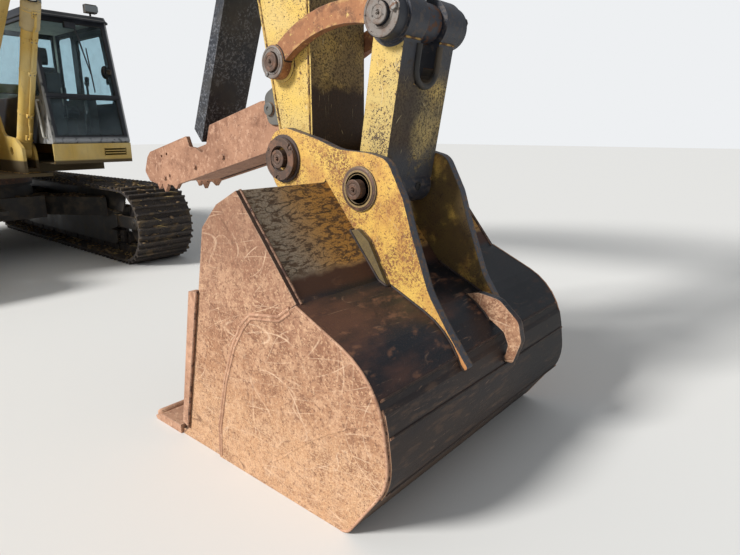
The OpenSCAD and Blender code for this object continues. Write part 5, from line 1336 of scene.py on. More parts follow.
class EXCAVATOR_OT_cab(bpy.types.Operator):
    """Fits the cab with seals, a wiper, grab bars, a roof hatch, a door handle, controls and the lamps"""
    bl_idname = "excavator.cab"
    bl_label = "Cab fittings"

    def seal_lines(self, node, keep):
        """The outer rim of each pane: its outward face's edges, by the faces' areas in square metres."""
        work = joined(node)
        lines = []
        for edge in work.edges:
            sizes = sorted(f.calc_area() for f in edge.link_faces)
            if len(sizes) == 2 and sizes[1] > 0.12 and sizes[0] < 0.02:
                big = max(edge.link_faces, key=lambda f: f.calc_area())
                if keep(big):
                    lines.append([v.co.copy() for v in edge.verts])
        work.free()
        return lines

    def execute(self, context):
        # the screen's foot, its lean over its height, and the roof's top
        front, foot_z, rake, height, top = 1400, 1450, 330, 1560, 3010
        middle = Vector((SLEWING.x + 0.4, 1.015, 2.2))
        outward = lambda face: (face.calc_center_median() - middle).dot(face.normal) > 0
        grow("pipe", "Window_seals", wires(self.seal_lines("cab_glass", outward)), "upper", "rubber",
             Radius=0.011, Sides=8)
        grow("pipe", "Door_seal", wires(self.seal_lines("door_glass", outward)), "cab_door", "rubber",
             Radius=0.011, Sides=8)

        # windscreen: X looks out through it, Z runs up along it
        lean = math.atan2(rake, height)
        screen = MACHINE @ Matrix.Translation((front, 1015, foot_z)) @ Matrix.Rotation(-lean, 4, "Y")
        work, rubber_parts = Work(screen), Work(screen)
        work.box((-22, 26), (-70, 70), (1400, 1470), 8)
        work.hull([(10, 40, 1420), (24, 40, 1420), (10, 60, 1420), (24, 60, 1420), (-8, 150, 820),
                   (-2, 150, 820), (-8, 160, 820), (-2, 160, 820)])
        work.lathe([[-12, 12], [12, 12], [16, 9], [16, 0]], (6, 50, 1424), (1, 0, 0), 14)
        work.box((-14, -6), (148, 162), (640, 1180), 2)
        rubber_parts.box((-23, -13), (151, 159), (635, 1185), 2)
        # split bar, sill and gutter
        work.box((-6, 8), (-455, 455), (560, 602), 4)
        work.box((-8, 10), (-468, 468), (20, 62), 5)
        work.place = MACHINE
        roof_front = front - rake * (top - 70 - foot_z) / height
        work.box((-495, roof_front + 26), (528, 542), (top - 92, top - 66), 4)
        work.box((-495, roof_front + 26), (1488, 1502), (top - 92, top - 66), 4)
        work.hull([(x, y, z) for x, z in ((roof_front + 8, top - 72), (roof_front + 70, top - 84),
                                          (roof_front + 62, top - 66), (roof_front - 10, top - 44))
                   for y in (560, 1470)])
        # roof hatch with its frame
        for grow_by, z in ((0, (top - 2, top + 12)), (-26, (top + 10, top + 26))):
            hatch = rounded([[-180 - grow_by, 740 - grow_by, 60], [640 + grow_by, 740 - grow_by, 60],
                             [640 + grow_by, 1290 + grow_by, 60], [-180 - grow_by, 1290 + grow_by, 60]])
            lid = Work(MACHINE @ Matrix.Rotation(math.pi / 2, 4, "X"))
            lid.plate([(x, -y) for x, y in hatch], (z[0], z[1]), 4)
            lid.done("Roof_hatch_" + ("frame" if not grow_by else "lid"), "upper", "navy")
        work.done("Cab_trim", "upper", "navy")
        rubber_parts.done("Wiper_blade", "upper", "rubber")

        # grab bars
        x_at = lambda z: front - rake * (z - foot_z) / height
        pipe("Cab_grab_bar", MACHINE, [[(x_at(1520) - 150, 540, 1520), (x_at(1520) - 150, 500, 1520),
                                       (x_at(1960) - 150, 500, 1960), (x_at(1960) - 150, 540, 1960)]],
             12, "upper", "pale", 12, 30)
        # inside: a fan on the right-hand post, and the headrest on the seat's back
        fan, blades = Work(), Work()
        at = Vector((1150, 1392, 2330))
        out = Vector((-0.8, -0.6, 0)).normalized()
        for along, radius in ((0, 78), (14, 84), (28, 78)):
            fan.lathe([[along - 3, radius - 3], [along, radius], [along + 3, radius - 3], [along, radius - 6],
                       [along - 3, radius - 3]], at, out, 28)
        fan.lathe([[-70, 26], [-66, 32], [-14, 32], [4, 22], [10, 0]], at, out, 20)
        fan.box((1136, 1166), (1378, 1408), (2180, 2256), 8)
        for i in range(5):
            a = 2 * math.pi * i / 5
            side, up = out.cross(Vector((0, 0, 1))), Vector((0, 0, 1))
            tip = [at + out * d + (side * math.cos(a + t) + up * math.sin(a + t)) * r
                   for d, t, r in ((6, -0.3, 18), (10, -0.3, 18), (14, -0.45, 72), (18, -0.45, 72),
                                   (24, 0.45, 72), (20, 0.45, 72), (12, 0.3, 18), (16, 0.3, 18))]
            blades.hull(tip)
        fan.done("Cab_fan", "upper", "black")
        blades.done("Cab_fan_blades", "upper", "plastic")
        rest = Work()
        rest.hull([(46 * math.cos(a) * f - 5, 1015 + y * f, 2590 + 112 * math.sin(a) * f ** 0.5)
                   for a in (2 * math.pi * i / 16 for i in range(16))
                   for y, f in ((-142, 0.80), (-125, 0.95), (-80, 1.0), (80, 1.0), (125, 0.95), (142, 0.80))])
        rest.done("Headrest", "upper", "plastic", 60)

        # door: handle and lock
        work = Work()
        handle = x_at(2050) - 155
        work.box((handle - 80, handle + 60), (1488, 1496), (1990, 2070), 3)
        work.hull([(handle - 60 + dx, y, z) for dx, y in ((0, 1494), (0, 1512), (95, 1508), (95, 1494))
                   for z in (2015, 2040)])
        work.lathe([[0, 14], [6, 14], [8, 11], [8, 4], [5, 3], [5, 0]], (handle - 60, 1494, 1985),
                   (0, 1, 0), 14)
        work.done("Door_handle", "cab_door", "plastic")

        # inside: monitor, armrests, gaiters, pedal pads, floor mat
        inside, dark = Work(), Work()
        middle_y, floor = 1015, 1490
        for side in (-1, 1):
            y = middle_y + side * 327
            inside.box((150, 640), (y - 52, y + 52), (floor + 516, floor + 556), 12)
            dark.lathe([[0, 52], [8, 54], [14, 44], [22, 48], [28, 38], [36, 42], [42, 32], [50, 35],
                        [58, 24], [70, 18], [70, 0]], (670, y, floor + 520), (0, 0, 1), 20)
            inside.lathe([[0, 16], [12, 24], [60, 26], [90, 30], [118, 24], [126, 0]], (670, y, floor + 690),
                         (0.1, 0, 1), 16)
            y = middle_y + side * 110
            dark.box((935, 1075), (y - 52, y + 52), (floor + 58, floor + 70), 3)
            for i in range(5):
                dark.box((950 + i * 24, 960 + i * 24), (y - 46, y + 46), (floor + 68, floor + 76), 2)
            inside.box((978, 1012), (y - 20, y + 20), (floor + 520, floor + 640), 8)
        dark.box((540, 1230), (middle_y - 400, middle_y + 400), (floor - 2, floor + 6), 2)
        inside.box((1110, 1170), (625, 815), (floor + 620, floor + 800), 12)
        inside.done("Cab_controls", "upper", "plastic")
        dark.done("Cab_gaiters_and_mat", "upper", "rubber")
        screen_face = Work()
        screen_face.box((1104, 1111), (640, 800), (floor + 636, floor + 784), 2)
        screen_face.done("Monitor_face", "upper", "lens")
        liner = Work()
        for y in (588, 1438):
            liner.box((-432, -380), sorted((y, y + (16 if y < 1000 else -16))), (1500, 2930), 6)
        liner.box((-432, -414), (600, 1430), (1500, 2100), 6)
        liner.box((-300, 900), (620, 1410), (2916, 2932), 8)
        liner.done("Cab_lining", "upper", "pale")

        # lamps: bezel, glass and cooling ribs on each housing
        bezel, glass = Work(), Work()
        for x, y, z in ((980, 1350, 3010), (980, 680, 3010), (1180, -1190, 1760)):
            outline = [[-70, 38, 14], [70, 38, 14], [70, 138, 14], [-70, 138, 14]]
            turned = MACHINE @ Matrix.Translation((x, y, z)) @ Matrix.Rotation(math.pi / 2, 4, "Z")
            for shape, grow_by, depth in ((bezel, 0, (-54, -48)), (glass, -12, (-58, -52))):
                shape.place = turned
                line = rounded([[a + math.copysign(grow_by, a), b + (grow_by if b > 60 else -grow_by), r]
                                for a, b, r in outline])
                shape.plate(line, depth, 2)
            bezel.place = MACHINE @ Matrix.Translation((x, y, z))
            for i in range(7):
                bezel.box((-38, -28), (-57 + i * 18, -51 + i * 18), (46, 130), 1.5)
        bezel.done("Lamp_bezels", "upper", "black")
        glass.done("Lamp_glasses", "upper", "lens")
        return {"FINISHED"}


class EXCAVATOR_OT_housings(bpy.types.Operator):
    """Dresses the housings, the tanks and the deck, and fits the rails, a mirror and the slewing motor"""
    bl_idname = "excavator.housings"
    bl_label = "Housings and tanks"

    def latch(self, work, at, out):
        """A paddle latch in its dish."""
        x, y, z = at
        work.lathe([[0, 46], [4, 46], [7, 40], [3, 34], [2, 0]], at, out, 24)
        work.box((x - 28, x + 30), sorted((y, y + out[1] * 10)), (z - 13, z + 13), 4)
        work.lathe([[0, 9], [12, 9], [13, 7], [13, 0]], (x - 14, y, z), out, 12)

    def execute(self, context):
        half = 1490                      # from the centre plane to the side doors' outer faces
        # louvre hoods over the slots of both side doors
        blade = Work(UNIT)
        blade.hull([(x, y, z) for x in (-330, 330) for y, z in ((-2, 0), (12, -20), (12, -24), (-2, -10))]
                   + [(x, -2, z) for x in (-348, 348) for z in (4, -20)])
        blade_mesh = blade.done("Louvre")
        for name, side, count in (("radiator_door", 1, 8), ("pump_door", -1, 5)):
            hoods, work = Spots(), Work()
            for i in range(count):
                hoods.put(MACHINE, (-2030, side * half, 1510 + 118 + i * 60), (0, 0, 1), 1, (side, 0, 0))
            hoods.grow("Louvres_" + name, name, "yellow", blade_mesh)
            for z in (1640, 2060):
                self.latch(work, (-2442, side * half, z), (0, side, 0))
            work.done("Latches_" + name, name, "black")
        # engine hood: ribs, handle, grille slats
        work, slats = Work(), Spots()
        for y in (-560, 560):
            work.box((-2460, -1430), (y - 26, y + 26), (2276, 2292), 6)
        for x in (-2440, -1450):
            work.box((x - 14, x + 14), (-734, 734), (2276, 2288), 5)
        work.done("Hood_ribs", "engine_hood", "yellow")
        slat = Work(UNIT)
        slat.hull([(x, y, z) for x in (-300, 300) for y, z in ((-9, 0), (9, 0), (7, 12), (3, 14))])
        for i in range(18):
            slats.put(MACHINE, (-2330 + i * 44, -230, 2280), (0, 0, 1), 1, (0, 1, 0))
        slats.grow("Hood_slats", "engine_hood", "black", slat.done("Slat"))
        pipe("Hood_handle", MACHINE, [[(-2470, -120, 2262), (-2500, -120, 2262), (-2500, 120, 2262),
                                       (-2470, 120, 2262)]],
             9, "engine_hood", "black", 10, 18)

        # counterweight: corner lids, rear reflectors and drain plugs
        work, bolts, red = Work(), Spots(), Work()
        for y in (-640, 640):
            work.lathe([[0, 78], [10, 78], [16, 70], [16, 30], [12, 26], [12, 0]], (-2860, y, 2230),
                       (0, 0, 1), 28)
        for y in (-260, 260):
            bolts.put(MACHINE, (-2700, y, 2230), (0, 0, 1), 34)
        for y in (-900, 900):
            lean = math.asin(y / 3300)
            red.place = MACHINE @ Matrix.Rotation(math.pi - lean, 4, "Z")
            red.box((3292, 3306), (-80, 80), (1650, 1700), 4)
        work.done("Counterweight_lids", "upper", "yellow")
        red.done("Reflectors", "upper", "red")

        # tanks and tool box: filler caps with grips and hasps, a sight gauge, access covers, a door
        work, dark = Work(), Work()
        for x in (-1020, -60):
            work.lathe([[0, 84], [10, 84], [14, 78], [40, 78], [48, 70], [48, 30], [52, 24], [52, 0]],
                       (x, -900, 2174), (0, 0, 1), 32)
            for i in range(6):
                a = math.radians(60 * i)
                work.lathe([[0, 12], [30, 12], [34, 8], [34, 0]],
                           (x + 76 * math.cos(a), -900 + 76 * math.sin(a), 2180), (0, 0, 1), 10)
            dark.box((x - 20, x + 20), (-1012, -968), (2186, 2228), 5)
            bolts.ring(MACHINE, (x, -560, 2140), (0, 0, 1), 105, 10, 9)
            work.lathe([[-2, 130], [8, 130], [10, 126], [10, 0]], (x, -560, 2140), (0, 0, 1), 32)
        dark.box((-1000, -950), (-half - 8, -half + 4), (1640, 1980), 5)
        dark.box((-985, -965), (-half - 12, -half - 4), (1668, 1952), 3)
        door = rounded([[492, 1486, 24], [1318, 1486, 24], [1318, 1722, 24], [492, 1722, 24]])
        work.plate(door, (-half - 9, -half + 2), 3)
        self.latch(dark, (905, -half - 9, 1690), (0, -1, 0))
        for x in (640, 1170):
            dark.box((x - 40, x + 40), (-half - 16, -half - 6), (1478, 1500), 4)
        for x0, x1 in ((-1450, -600), (-520, 400)):
            for x in (x0 + 40, x1 - 40):
                for z in (1490, 2010):
                    bolts.put(MACHINE, (x, -half, z), (0, -1, 0), 11)
        for x in (-1025, -58):
            work.box((x - 330, x + 330), (-half - 5, -half + 3), (1560, 1590), 3)
        work.done("Tank_fittings", "upper", "yellow")
        dark.done("Tank_locks", "upper", "black")

        # tread bars on the tool box and the tank tops
        bar = Work(UNIT)
        bar.hull([(-16, 0, 0), (16, 0, 0), (0, -5, 0), (0, 5, 0),
                  (-11, 0, 3.5), (11, 0, 3.5), (0, -2.5, 3.5), (0, 2.5, 3.5)])
        tread = Spots()
        for x0, x1, y0, y1, z in ((460, 1350, -1400, -660, 1760), (-500, 380, -760, -400, 2140)):
            columns, rows = int((x1 - x0) / 46), int((y1 - y0) / 46)
            for i, j in itertools.product(range(columns), range(rows)):
                slope = 1 if (i + j) % 2 else -1
                tread.put(MACHINE, (x0 + 23 + i * 46, y0 + 23 + j * 46, z), (0, 0, 1), 1, (1, slope, 0))
        tread.grow("Tread_bars", "upper", "yellow", bar.done("Tread_bar"))
        bolts.grow("Upper_bolts", "upper", "yellow")

        # handrails: one bent tube with a middle rail, on flanges
        y, z0, z1 = -half + 60, 1760, 2343
        rails = pipe("Rail_tubes", MACHINE, [[(490, y, z0), (490, y, z1), (1320, y, z1), (1320, y, z0)],
                                            [(490, y, 2060), (1320, y, 2060)]], 17, "upper", "yellow", 14, 90)
        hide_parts("handrails")
        work, feet_bolts = Work(), Spots()
        for x in (490, 1320):
            work.lathe([[0, 46], [9, 46], [11, 43], [11, 24], [24, 20]], (x, y, z0), (0, 0, 1), 24)
            feet_bolts.ring(MACHINE, (x, y, z0 + 11), (0, 0, 1), 34, 4, 7, 45)
        work.done("Rail_flanges", "upper", "yellow")
        feet_bolts.grow("Rail_bolts", "upper", "zinc")
        pipe("Right_mirror_stay", MACHINE, [[(1320, y, 2300), (1420, y - 60, 2320), (1430, y - 70, 2420)]], 9,
             "upper", "black", 10, 40)
        mirror = Work(MACHINE @ Matrix.Translation((1432, y - 72, 2540)) @ Matrix.Rotation(-0.4, 4, "Z"))
        mirror.box((-22, 22), (-85, 85), (-150, 140), 14)
        mirror.done("Right_mirror_head", "upper", "plastic")
        face = Work(mirror.place)
        face.box((-26, -20), (-74, 74), (-138, 128), 2)
        face.done("Right_mirror_face", "upper", "lens")

        # between the girders: slewing motor and control valve with their pipes
        work, bolts = Work(), Spots()
        work.lathe([[0, 165], [30, 165], [36, 140], [250, 140], [262, 160], [290, 160],
                    [296, 110], [420, 104], [440, 84], [470, 80], [476, 0]], (-250, 0, 1100), (0, 0, 1), 36)
        bolts.ring(MACHINE, (-250, 0, 1130), (0, 0, 1), 152, 12, 11)
        bolts.ring(MACHINE, (-250, 0, 1390), (0, 0, 1), 148, 10, 10)
        for i in range(6):
            y = -165 + i * 66
            work.box((-980, -700), (y - 29, y + 29), (1160, 1330), 6)
            work.lathe([[0, 24], [44, 24], [50, 18], [50, 0]], (-700, y, 1245), (1, 0, 0), 16)
            work.lathe([[0, 24], [60, 24], [66, 18], [66, 0]], (-980, y, 1245), (-1, 0, 0), 16)
        work.box((-960, -720), (-205, 205), (1098, 1166), 8)
        work.done("Slewing_motor_and_valve", "upper", "casting")
        bolts.grow("Motor_bolts", "upper", "zinc")
        runs = []
        for i in range(5):
            y = -140 + i * 66
            runs.append([(-840, y, 1325), (-840, y, 1400 + i * 12), (-420, y, 1430 + i * 12),
                         (-60, y, 1460 + i * 12), (30, y, 1600)])
        pipe("Valve_pipes", MACHINE, runs, 14, "upper", "pipe", 10, 70)

        # exhaust: two clamps and a collar below them
        work = Work()
        for z in (2330, 2520):
            work.lathe([[0, 55], [2, 60], [16, 60], [18, 55]], (-2200, -950, z), (0, 0, 1), 28)
            work.box((-2146, -2118), (-962, -938), (z, z + 16), 3)
        work.lathe([[0, 96], [8, 98], [20, 98], [24, 92]], (-2200, -950, 2242), (0, 0, 1), 32)
        work.done("Exhaust_clamps", "upper", "old_rust")
        return {"FINISHED"}


class EXCAVATOR_OT_front(bpy.types.Operator):
    """Dresses the boom, the arm, the linkage, the thumb and the bucket"""
    bl_idname = "excavator.front"
    bl_label = "Boom, arm and bucket fittings"

    def execute(self, context):
        # bucket link: two bands round the upper barrel, rings on the bosses' ends
        reach = (ROD_PIN - LINK_PIN).length / MM
        work = Work(LINK)
        for side in (-1, 1):
            for y in (108, 176):
                work.lathe([[0, 110], [2, 112], [6, 112], [8, 110]], (reach, side * y - 4, 0), (0, 1, 0), 40)
            work.lathe([[0, 100], [4, 100], [6, 96], [6, 60], [0, 56]], (reach, side * 203, 0),
                       (0, side, 0), 40)
            work.lathe([[0, 84], [5, 84], [8, 80], [8, 58], [0, 54]], (0, side * 190, 0), (0, side, 0), 36)
        work.lathe([[0, 14], [4, 14], [6, 11], [6, 6], [1, 5], [1, 0]], (0, -60, -91), (0, 0, -1), 14)
        work.done("Link_rings", "bucket_link", "link_yellow")
        # its slot ends round: corner fillings, and a worn rim that follows them
        steps, slot, foot, face = 12, 73, reach - 260, -86
        arc = [(foot + slot - slot * math.sin(math.pi * i / steps), -slot * math.cos(math.pi * i / steps))
               for i in range(steps + 1)]
        fill = Work(LINK)
        for i in range(steps):
            (xa, ya), (xb, yb) = arc[i], arc[i + 1]
            y_corner = -slot - 2 if i < steps / 2 else slot + 2
            fill.hull([(x, y, z) for z in (face, face + 70) for x, y in (
                (xa, ya), (xb, yb), (foot - 2, y_corner), (foot - 2, 0.5 * (ya + yb)))])
        fill.done("Link_slot_corners", "bucket_link", "black")
        rim = [(reach - 90, -slot - 9)] + [(x - 9 * math.sin(math.pi * i / steps), y * 1.12)
                                           for i, (x, y) in enumerate(arc)] + [(reach - 90, slot + 9)]
        grow("bead", "Link_slot_rim", wires([[LINK @ Vector((x, y, face)) for x, y in rim]]), "bucket_link",
             "black", Radius=0.016, Pitch=0.018, Ripple=0.05, Sides=10)
        hole = Work(LINK)
        hole.lathe([[0, 22], [3, 22], [5, 19], [5, 13], [1, 12], [1, 0]], (10, 75, -91), (0, 0, -1), 18)
        hole.done("Grease_hole", "bucket_link", "rubber")

        # the lip's nose, worn round
        nose = Work(BUCKET)
        rows = [[-812, 14], [-808, 24]]
        for i in range(41):
            rows.append([-800 + i * 40, 27 + 2.5 * noise.noise(Vector((i * 0.7, 0.2, 5.1)))])
        nose.lathe(rows + [[808, 24], [812, 14]], (-1478, 0, 29), (0, 1, 0), 18)
        nose.done("Lip_nose", "bucket", "rust", 60)

        # arm: rings on its bosses, the thumb's bracket plates and bolts
        arm_l = (BUCKET_PIN - ARM_PIN).length / MM
        work, bolts = Work(ARM), Spots()
        for side in (-1, 1):
            work.lathe([[0, 108], [5, 108], [8, 104], [8, 62], [0, 58]], (arm_l, side * 200, 0),
                       (0, side, 0), 40)
            work.lathe([[0, 96], [6, 96], [8, 92], [8, 62], [0, 58]], (arm_l - 481, side * 200, 5),
                       (0, side, 0), 36)
        work.done("Arm_bosses", "arm", "arm_yellow")
        plates = Work(ARM)
        thumb_x, thumb_z = arm_l - 279, -152
        for side in (-1, 1):
            plates.plate(rounded([[arm_l - 400, -60, 20], [arm_l - 180, -60, 30], [arm_l - 200, -190, 50],
                                  [arm_l - 360, -190, 50]]), sorted((side * 173, side * 187)), 3)
            plates.lathe([[0, 36], [8, 34], [10, 28], [10, 12], [5, 10], [5, 0]],
                         (thumb_x, side * 194, thumb_z), (0, side, 0), 28)
        plates.done("Thumb_brackets", "arm", "casting")
        thumb = (ARM @ Matrix.Translation((thumb_x, 0, thumb_z))
                 @ Matrix.Rotation(math.radians(275.7), 4, "Y").inverted())
        for side in (-1, 1):
            for x, z in ((524, 147), (842, 144), (1232, 141)):
                bolts.put(thumb, (x, side * 172, z), (0, side, 0), 15)
        bolts.grow("Thumb_bolts", "arm", "old_rust")

        # boom: boss rings, with a ring of bolts round the second pair
        boom_l = (ARM_PIN - BOOM_FOOT).length / MM
        work, bolts = Work(BOOM), Spots()
        for side in (-1, 1):
            work.lathe([[0, 186], [6, 186], [10, 180], [10, 78], [0, 70]], (boom_l, side * 262, 0),
                       (0, side, 0), 48)
            work.lathe([[0, 150], [8, 150], [12, 144], [12, 70], [0, 64]], (2695, side * 250, 928),
                       (0, side, 0), 40)
            bolts.ring(BOOM, (2695, side * 262, 928), (0, side, 0), 122, 8, 10)
        work.done("Boom_bosses", "boom", "yellow")
        bolts.grow("Boom_bolts", "boom", "yellow")

        # two bolts on top of each pipe clamp, whose top is known by its area
        clamps = Spots()
        work = joined("boom_pipes")
        for face in work.faces:
            if 0.003 < face.calc_area() < 0.006 and face.normal.z > 0.5:
                for across in (-0.034, 0.034):
                    clamps.put(UNIT, face.calc_center_median() + Vector((0, across, 0)), face.normal, 8)
        work.free()
        clamps.grow("Clamp_bolts", "boom", "pipe")
        return {"FINISHED"}


class EXCAVATOR_OT_litter(bpy.types.Operator):
    """Drops dry earth and straw on the undercarriage"""
    bl_idname = "excavator.litter"
    bl_label = "Earth and straw"
    half_width = 1.535            # a stalk's length inside the tracks' outer edges

    def ground(self, node):
        """The upward faces of a node, inside the tracks' outer edges, for things to lie on."""
        work = joined(node)
        for side in (-1, 1):
            bmesh.ops.bisect_plane(work, geom=work.verts[:] + work.edges[:] + work.faces[:], clear_outer=True,
                                   plane_co=(0, side * self.half_width, 0), plane_no=(0, side, 0))
        bmesh.ops.triangulate(work, faces=work.faces)
        bmesh.ops.delete(work, geom=[f for f in work.faces if f.normal.z < 0.8], context="FACES")
        return mesh_from(work, "Ground")

    def execute(self, context):
        looks = context.scene.excavator_looks
        # a lump: corners spread over the upper half of an uneven ball
        lump = Work(UNIT)
        places = []
        for i in range(14):
            a, h = i * 2.4, 1 - (i + 0.5) / 9
            flat = math.sqrt(max(0.05, 1 - h * h))
            size = 0.022 * (1 + 0.5 * noise.noise(Vector((i * 1.7, 3.1, 0.4))))
            places.append((flat * math.cos(a) * size * 1.3, flat * math.sin(a) * size,
                           max(-0.1, h) * size * 0.7))
        lump.hull(places)
        lump_mesh = lump.done("Lump", sharp=60)
        # a stalk, widest at its middle
        stalk = Work(UNIT)
        stalk.hull([(x, y * w, z + 0.004 * (1 - abs(x) / 0.07))
                    for x, w in ((-0.07, 0.3), (0, 1), (0.07, 0.3))
                    for y in (-0.0022, 0.0022) for z in (0, 0.002)])
        stalk_mesh = stalk.done("Stalk", sharp=60)
        # name, node below, shape, copies on a square metre, least and greatest size, tilt and seed
        rows = []
        for side in ("left", "right"):
            rows += [("Earth_" + side, "track_" + side, lump_mesh, looks.earth, 0.4, 1.3, 0.4, 3),
                     ("Straw_" + side, "track_" + side, stalk_mesh, looks.straw, 0.6, 1.5, 0.5, 8)]
        rows += [("Frame_earth", "track_frames", lump_mesh, looks.earth * 0.6, 0.5, 1.6, 0.4, 5),
                 ("Frame_straw", "track_frames", stalk_mesh, looks.earth * 0.5, 0.5, 1.6, 0.4, 5),
                 ("Body_earth", "car_body", lump_mesh, looks.earth * 0.6, 0.5, 1.6, 0.4, 5)]
        for name, node, shape, density, least, most, tilt, seed in rows:
            grow("litter", name, self.ground(node), "undercarriage",
                 "earth" if shape is lump_mesh else "straw",
                 shape.copy(), Density=density, Least=least, Most=most, Tilt=tilt, Seed=seed)
        return {"FINISHED"}


class EXCAVATOR_OT_seat(bpy.types.Operator):
    """Makes the seat's cushions swell in a cloth simulation, and presses sewn channels into them"""
    bl_idname = "excavator.seat"
    bl_label = "Seat cushions"

    def cushion(self, name, work, voxel, most):
        """One pad: remeshed, blown up like a cover over its foam, and eased back to at most metres."""
        pad = new_object(name, mesh_from(work, name))
        remesh = pad.modifiers.new("Voxels", "REMESH")
        remesh.mode, remesh.voxel_size = "VOXEL", voxel
        mesh = baked(pad)
        pad.modifiers.clear()
        pad.data = mesh
        start = [v.co.copy() for v in mesh.vertices]
        cloth = pad.modifiers.new("Cover", "CLOTH")
        cloth.settings.use_pressure = True
        cloth.settings.uniform_pressure_force = 4.0
        cloth.settings.effector_weights.gravity = 0.0
        frames = 20
        cloth.point_cache.frame_start, cloth.point_cache.frame_end = 1, frames
        scene = bpy.context.scene
        for number in range(1, frames + 1):
            scene.frame_set(number)
        mesh = baked(pad)
        pad.modifiers.clear()
        pad.data = mesh
        scene.frame_set(1)
        for v, first in zip(mesh.vertices, start):
            way = v.co - first
            if way.length > most:
                v.co = first + way * (most / way.length)
        return pad

    def execute(self, context):
        apart, depth = 0.11, 0.006       # of the sewn channels, in metres
        work = joined("seat_cushions")
        islands, seen = [], set()
        for first in work.verts:
            if first in seen:
                continue
            island, todo = set(), [first]
            while todo:
                v = todo.pop()
                if v not in island:
                    island.add(v)
                    todo += [e.other_vert(v) for e in v.link_edges]
            seen |= island
            islands.append(sorted(v.index for v in island))
        work.free()
        for number, keep in enumerate(islands):
            name = "Seat_pad" if number == 0 else "Back_pad"
            work = joined("seat_cushions")
            work.verts.ensure_lookup_table()
            kept = {work.verts[i] for i in keep}
            bmesh.ops.delete(work, geom=[v for v in work.verts if v not in kept], context="VERTS")
            middle = sum((v.co for v in work.verts), Vector()) / len(work.verts)
            shrunk = Matrix.Diagonal((0.95, 0.95, 0.90, 1))
            bmesh.ops.transform(work, verts=work.verts, matrix=(
                Matrix.Translation(middle) @ shrunk @ Matrix.Translation(-middle)))
            pad = self.cushion(name, work, 0.008, 0.014)
            seat_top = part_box("seat_cushions")[0].z + 0.13
            for v, normal in zip(pad.data.vertices, [v.normal.copy() for v in pad.data.vertices]):
                # sewn channels: across the seat, and across the back
                seat = v.co.z < seat_top
                across = v.co.x if seat else v.co.z
                channel = 0.5 + 0.5 * math.cos(2 * math.pi * across / apart)
                if abs(v.co.y - middle.y) < 0.17 and (normal.z if seat else normal.x) > 0.5:
                    v.co -= normal * depth * channel ** 8
            fine = pad.modifiers.new("Fine", "SUBSURF")
            fine.levels = fine.render_levels = 1
            mesh = baked(pad)
            mesh.name = name
            bpy.data.objects.remove(pad)
            mesh.shade_smooth()
            piece = finish_object(name, mesh, "upper", "cloth")
            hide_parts("seat_cushions")
        return {"FINISHED"}


class EXCAVATOR_OT_stage(bpy.types.Operator):
    """Sets the floor, the lamps and the camera"""
    bl_idname = "excavator.stage"
    bl_label = "Stage"

    def execute(self, context):
        looks = context.scene.excavator_looks
        scene = context.scene
        camera = new_object("Camera", bpy.data.cameras.new("Camera"))
        camera.data.sensor_width = 36.0
        camera.data.lens = looks.lens
        camera.location = (HEEL_X + looks.camera_out, looks.camera_side, looks.camera_height)
        heading = math.radians(looks.camera_heading)
        camera.rotation_euler = (math.pi / 2 - math.radians(looks.camera_pitch), 0, heading)
        scene.camera = camera

        floor = bpy.data.meshes.new("Floor")
        reach = 60.0
        floor.from_pydata([(-reach, -reach, 0), (reach, -reach, 0), (reach, reach, 0), (-reach, reach, 0)],
                          [], [(0, 1, 2, 3)])
        new_object("Floor", floor)
        pale = bpy.data.materials.new("Pale_floor")
        pale.use_nodes = True
        pale.node_tree.nodes.clear()
        shader = add(pale.node_tree, "ShaderNodeBsdfPrincipled",
                     {"Base Color": linear("#d9d7d2"), "Roughness": 0.9})
        add(pale.node_tree, "ShaderNodeOutputMaterial", {0: shader})
        floor.materials.append(pale)

        sun = new_object("Key", bpy.data.lights.new("Key", "SUN"))
        sun.data.energy = looks.key_light
        sun.data.angle = math.radians(14)
        sun.rotation_euler = Vector((-0.32, -0.80, 0.58)).to_track_quat("Z", "Y").to_euler()

        world = bpy.data.worlds.new("Studio")
        world.use_nodes = True
        scene.world = world
        tree = world.node_tree
        tree.nodes.clear()
        path = add(tree, "ShaderNodeLightPath")
        seen = add(tree, "ShaderNodeMath", {
            0: path.outputs["Is Camera Ray"], 1: path.outputs["Is Transmission Ray"]}, operation="MAXIMUM")
        light = add(tree, "ShaderNodeBackground", {"Color": linear("#e6ebf2"), "Strength": looks.fill_light})
        white = add(tree, "ShaderNodeBackground", {"Color": linear("#eef0f2"), "Strength": 1.0})
        both = add(tree, "ShaderNodeMixShader", {0: seen, 1: light, 2: white})
        add(tree, "ShaderNodeOutputWorld", {0: both})
        scene.view_settings.view_transform = "Standard"
        return {"FINISHED"}


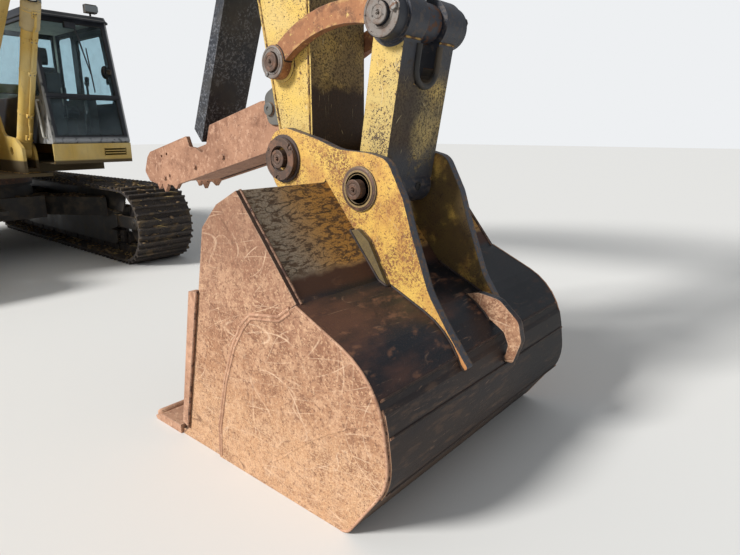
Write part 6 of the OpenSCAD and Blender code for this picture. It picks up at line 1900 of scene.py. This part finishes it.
class ExcavatorLooks(bpy.types.PropertyGroup):
    """Sizes and colours that a user would change"""
    yellow: StringProperty(name="Yellow", description="Enamel of the upper structure, as sRGB hex",
                           default="#cfac56")
    faded: StringProperty(name="Faded yellow", description="The same enamel where the sun has chalked it",
                          default="#d8c07e")
    ripple: FloatProperty(name="Weld ripple", description="Share by which a weld bead swells and falls",
                          default=0.22)
    earth: FloatProperty(name="Earth", description="Lumps of earth on a square metre of track", default=140.0)
    straw: FloatProperty(name="Straw", description="Stalks on a square metre of track", default=55.0)
    lens: FloatProperty(name="Lens", description="Focal length in millimetres on a 36 mm sensor",
                        default=27.1)
    camera_out: FloatProperty(name="Camera ahead", description="Camera ahead of the bucket's heel",
                              default=1.313, unit="LENGTH")
    camera_side: FloatProperty(name="Camera aside", description="Camera to the left of the centre plane",
                               default=-2.236, unit="LENGTH")
    camera_height: FloatProperty(name="Eye height", description="Camera above the ground", default=1.6,
                                 unit="LENGTH")
    camera_heading: FloatProperty(name="Heading", description="Camera's turn about Z in degrees",
                                  default=40.3)
    camera_pitch: FloatProperty(name="Pitch", description="Camera's fall below the horizon in degrees",
                                default=14.74)
    key_light: FloatProperty(name="Key light", description="Strength of the sun lamp", default=4.2)
    fill_light: FloatProperty(name="Fill light", description="Strength of the world", default=0.5)


class EXCAVATOR_PT_looks(bpy.types.Panel):
    """Lists the sizes, the colours and the excavator's groups of pieces"""
    bl_idname = "EXCAVATOR_PT_looks"
    bl_label = "Excavator"
    bl_space_type = "VIEW_3D"
    bl_region_type = "UI"
    bl_category = "Excavator"

    def draw(self, context):
        for name in ExcavatorLooks.__annotations__:
            self.layout.prop(context.scene.excavator_looks, name)
        for operator in OPERATORS:
            self.layout.operator(operator.bl_idname)


OPERATORS = (
    EXCAVATOR_OT_stage, EXCAVATOR_OT_finishes, EXCAVATOR_OT_welds, EXCAVATOR_OT_pins, EXCAVATOR_OT_rams,
    EXCAVATOR_OT_tracks, EXCAVATOR_OT_cab, EXCAVATOR_OT_housings, EXCAVATOR_OT_front, EXCAVATOR_OT_litter,
    EXCAVATOR_OT_seat,
)
CLASSES = (ExcavatorLooks, *OPERATORS, EXCAVATOR_PT_looks)


def register():
    for cls in CLASSES:
        bpy.utils.register_class(cls)
    bpy.types.Scene.excavator_looks = PointerProperty(type=ExcavatorLooks)


def unregister():
    del bpy.types.Scene.excavator_looks
    for cls in reversed(CLASSES):
        bpy.utils.unregister_class(cls)


def main():
    register()
    for operator in OPERATORS:
        group, name = operator.bl_idname.split(".")
        getattr(getattr(bpy.ops, group), name)()


if __name__ == "__main__":
    main()
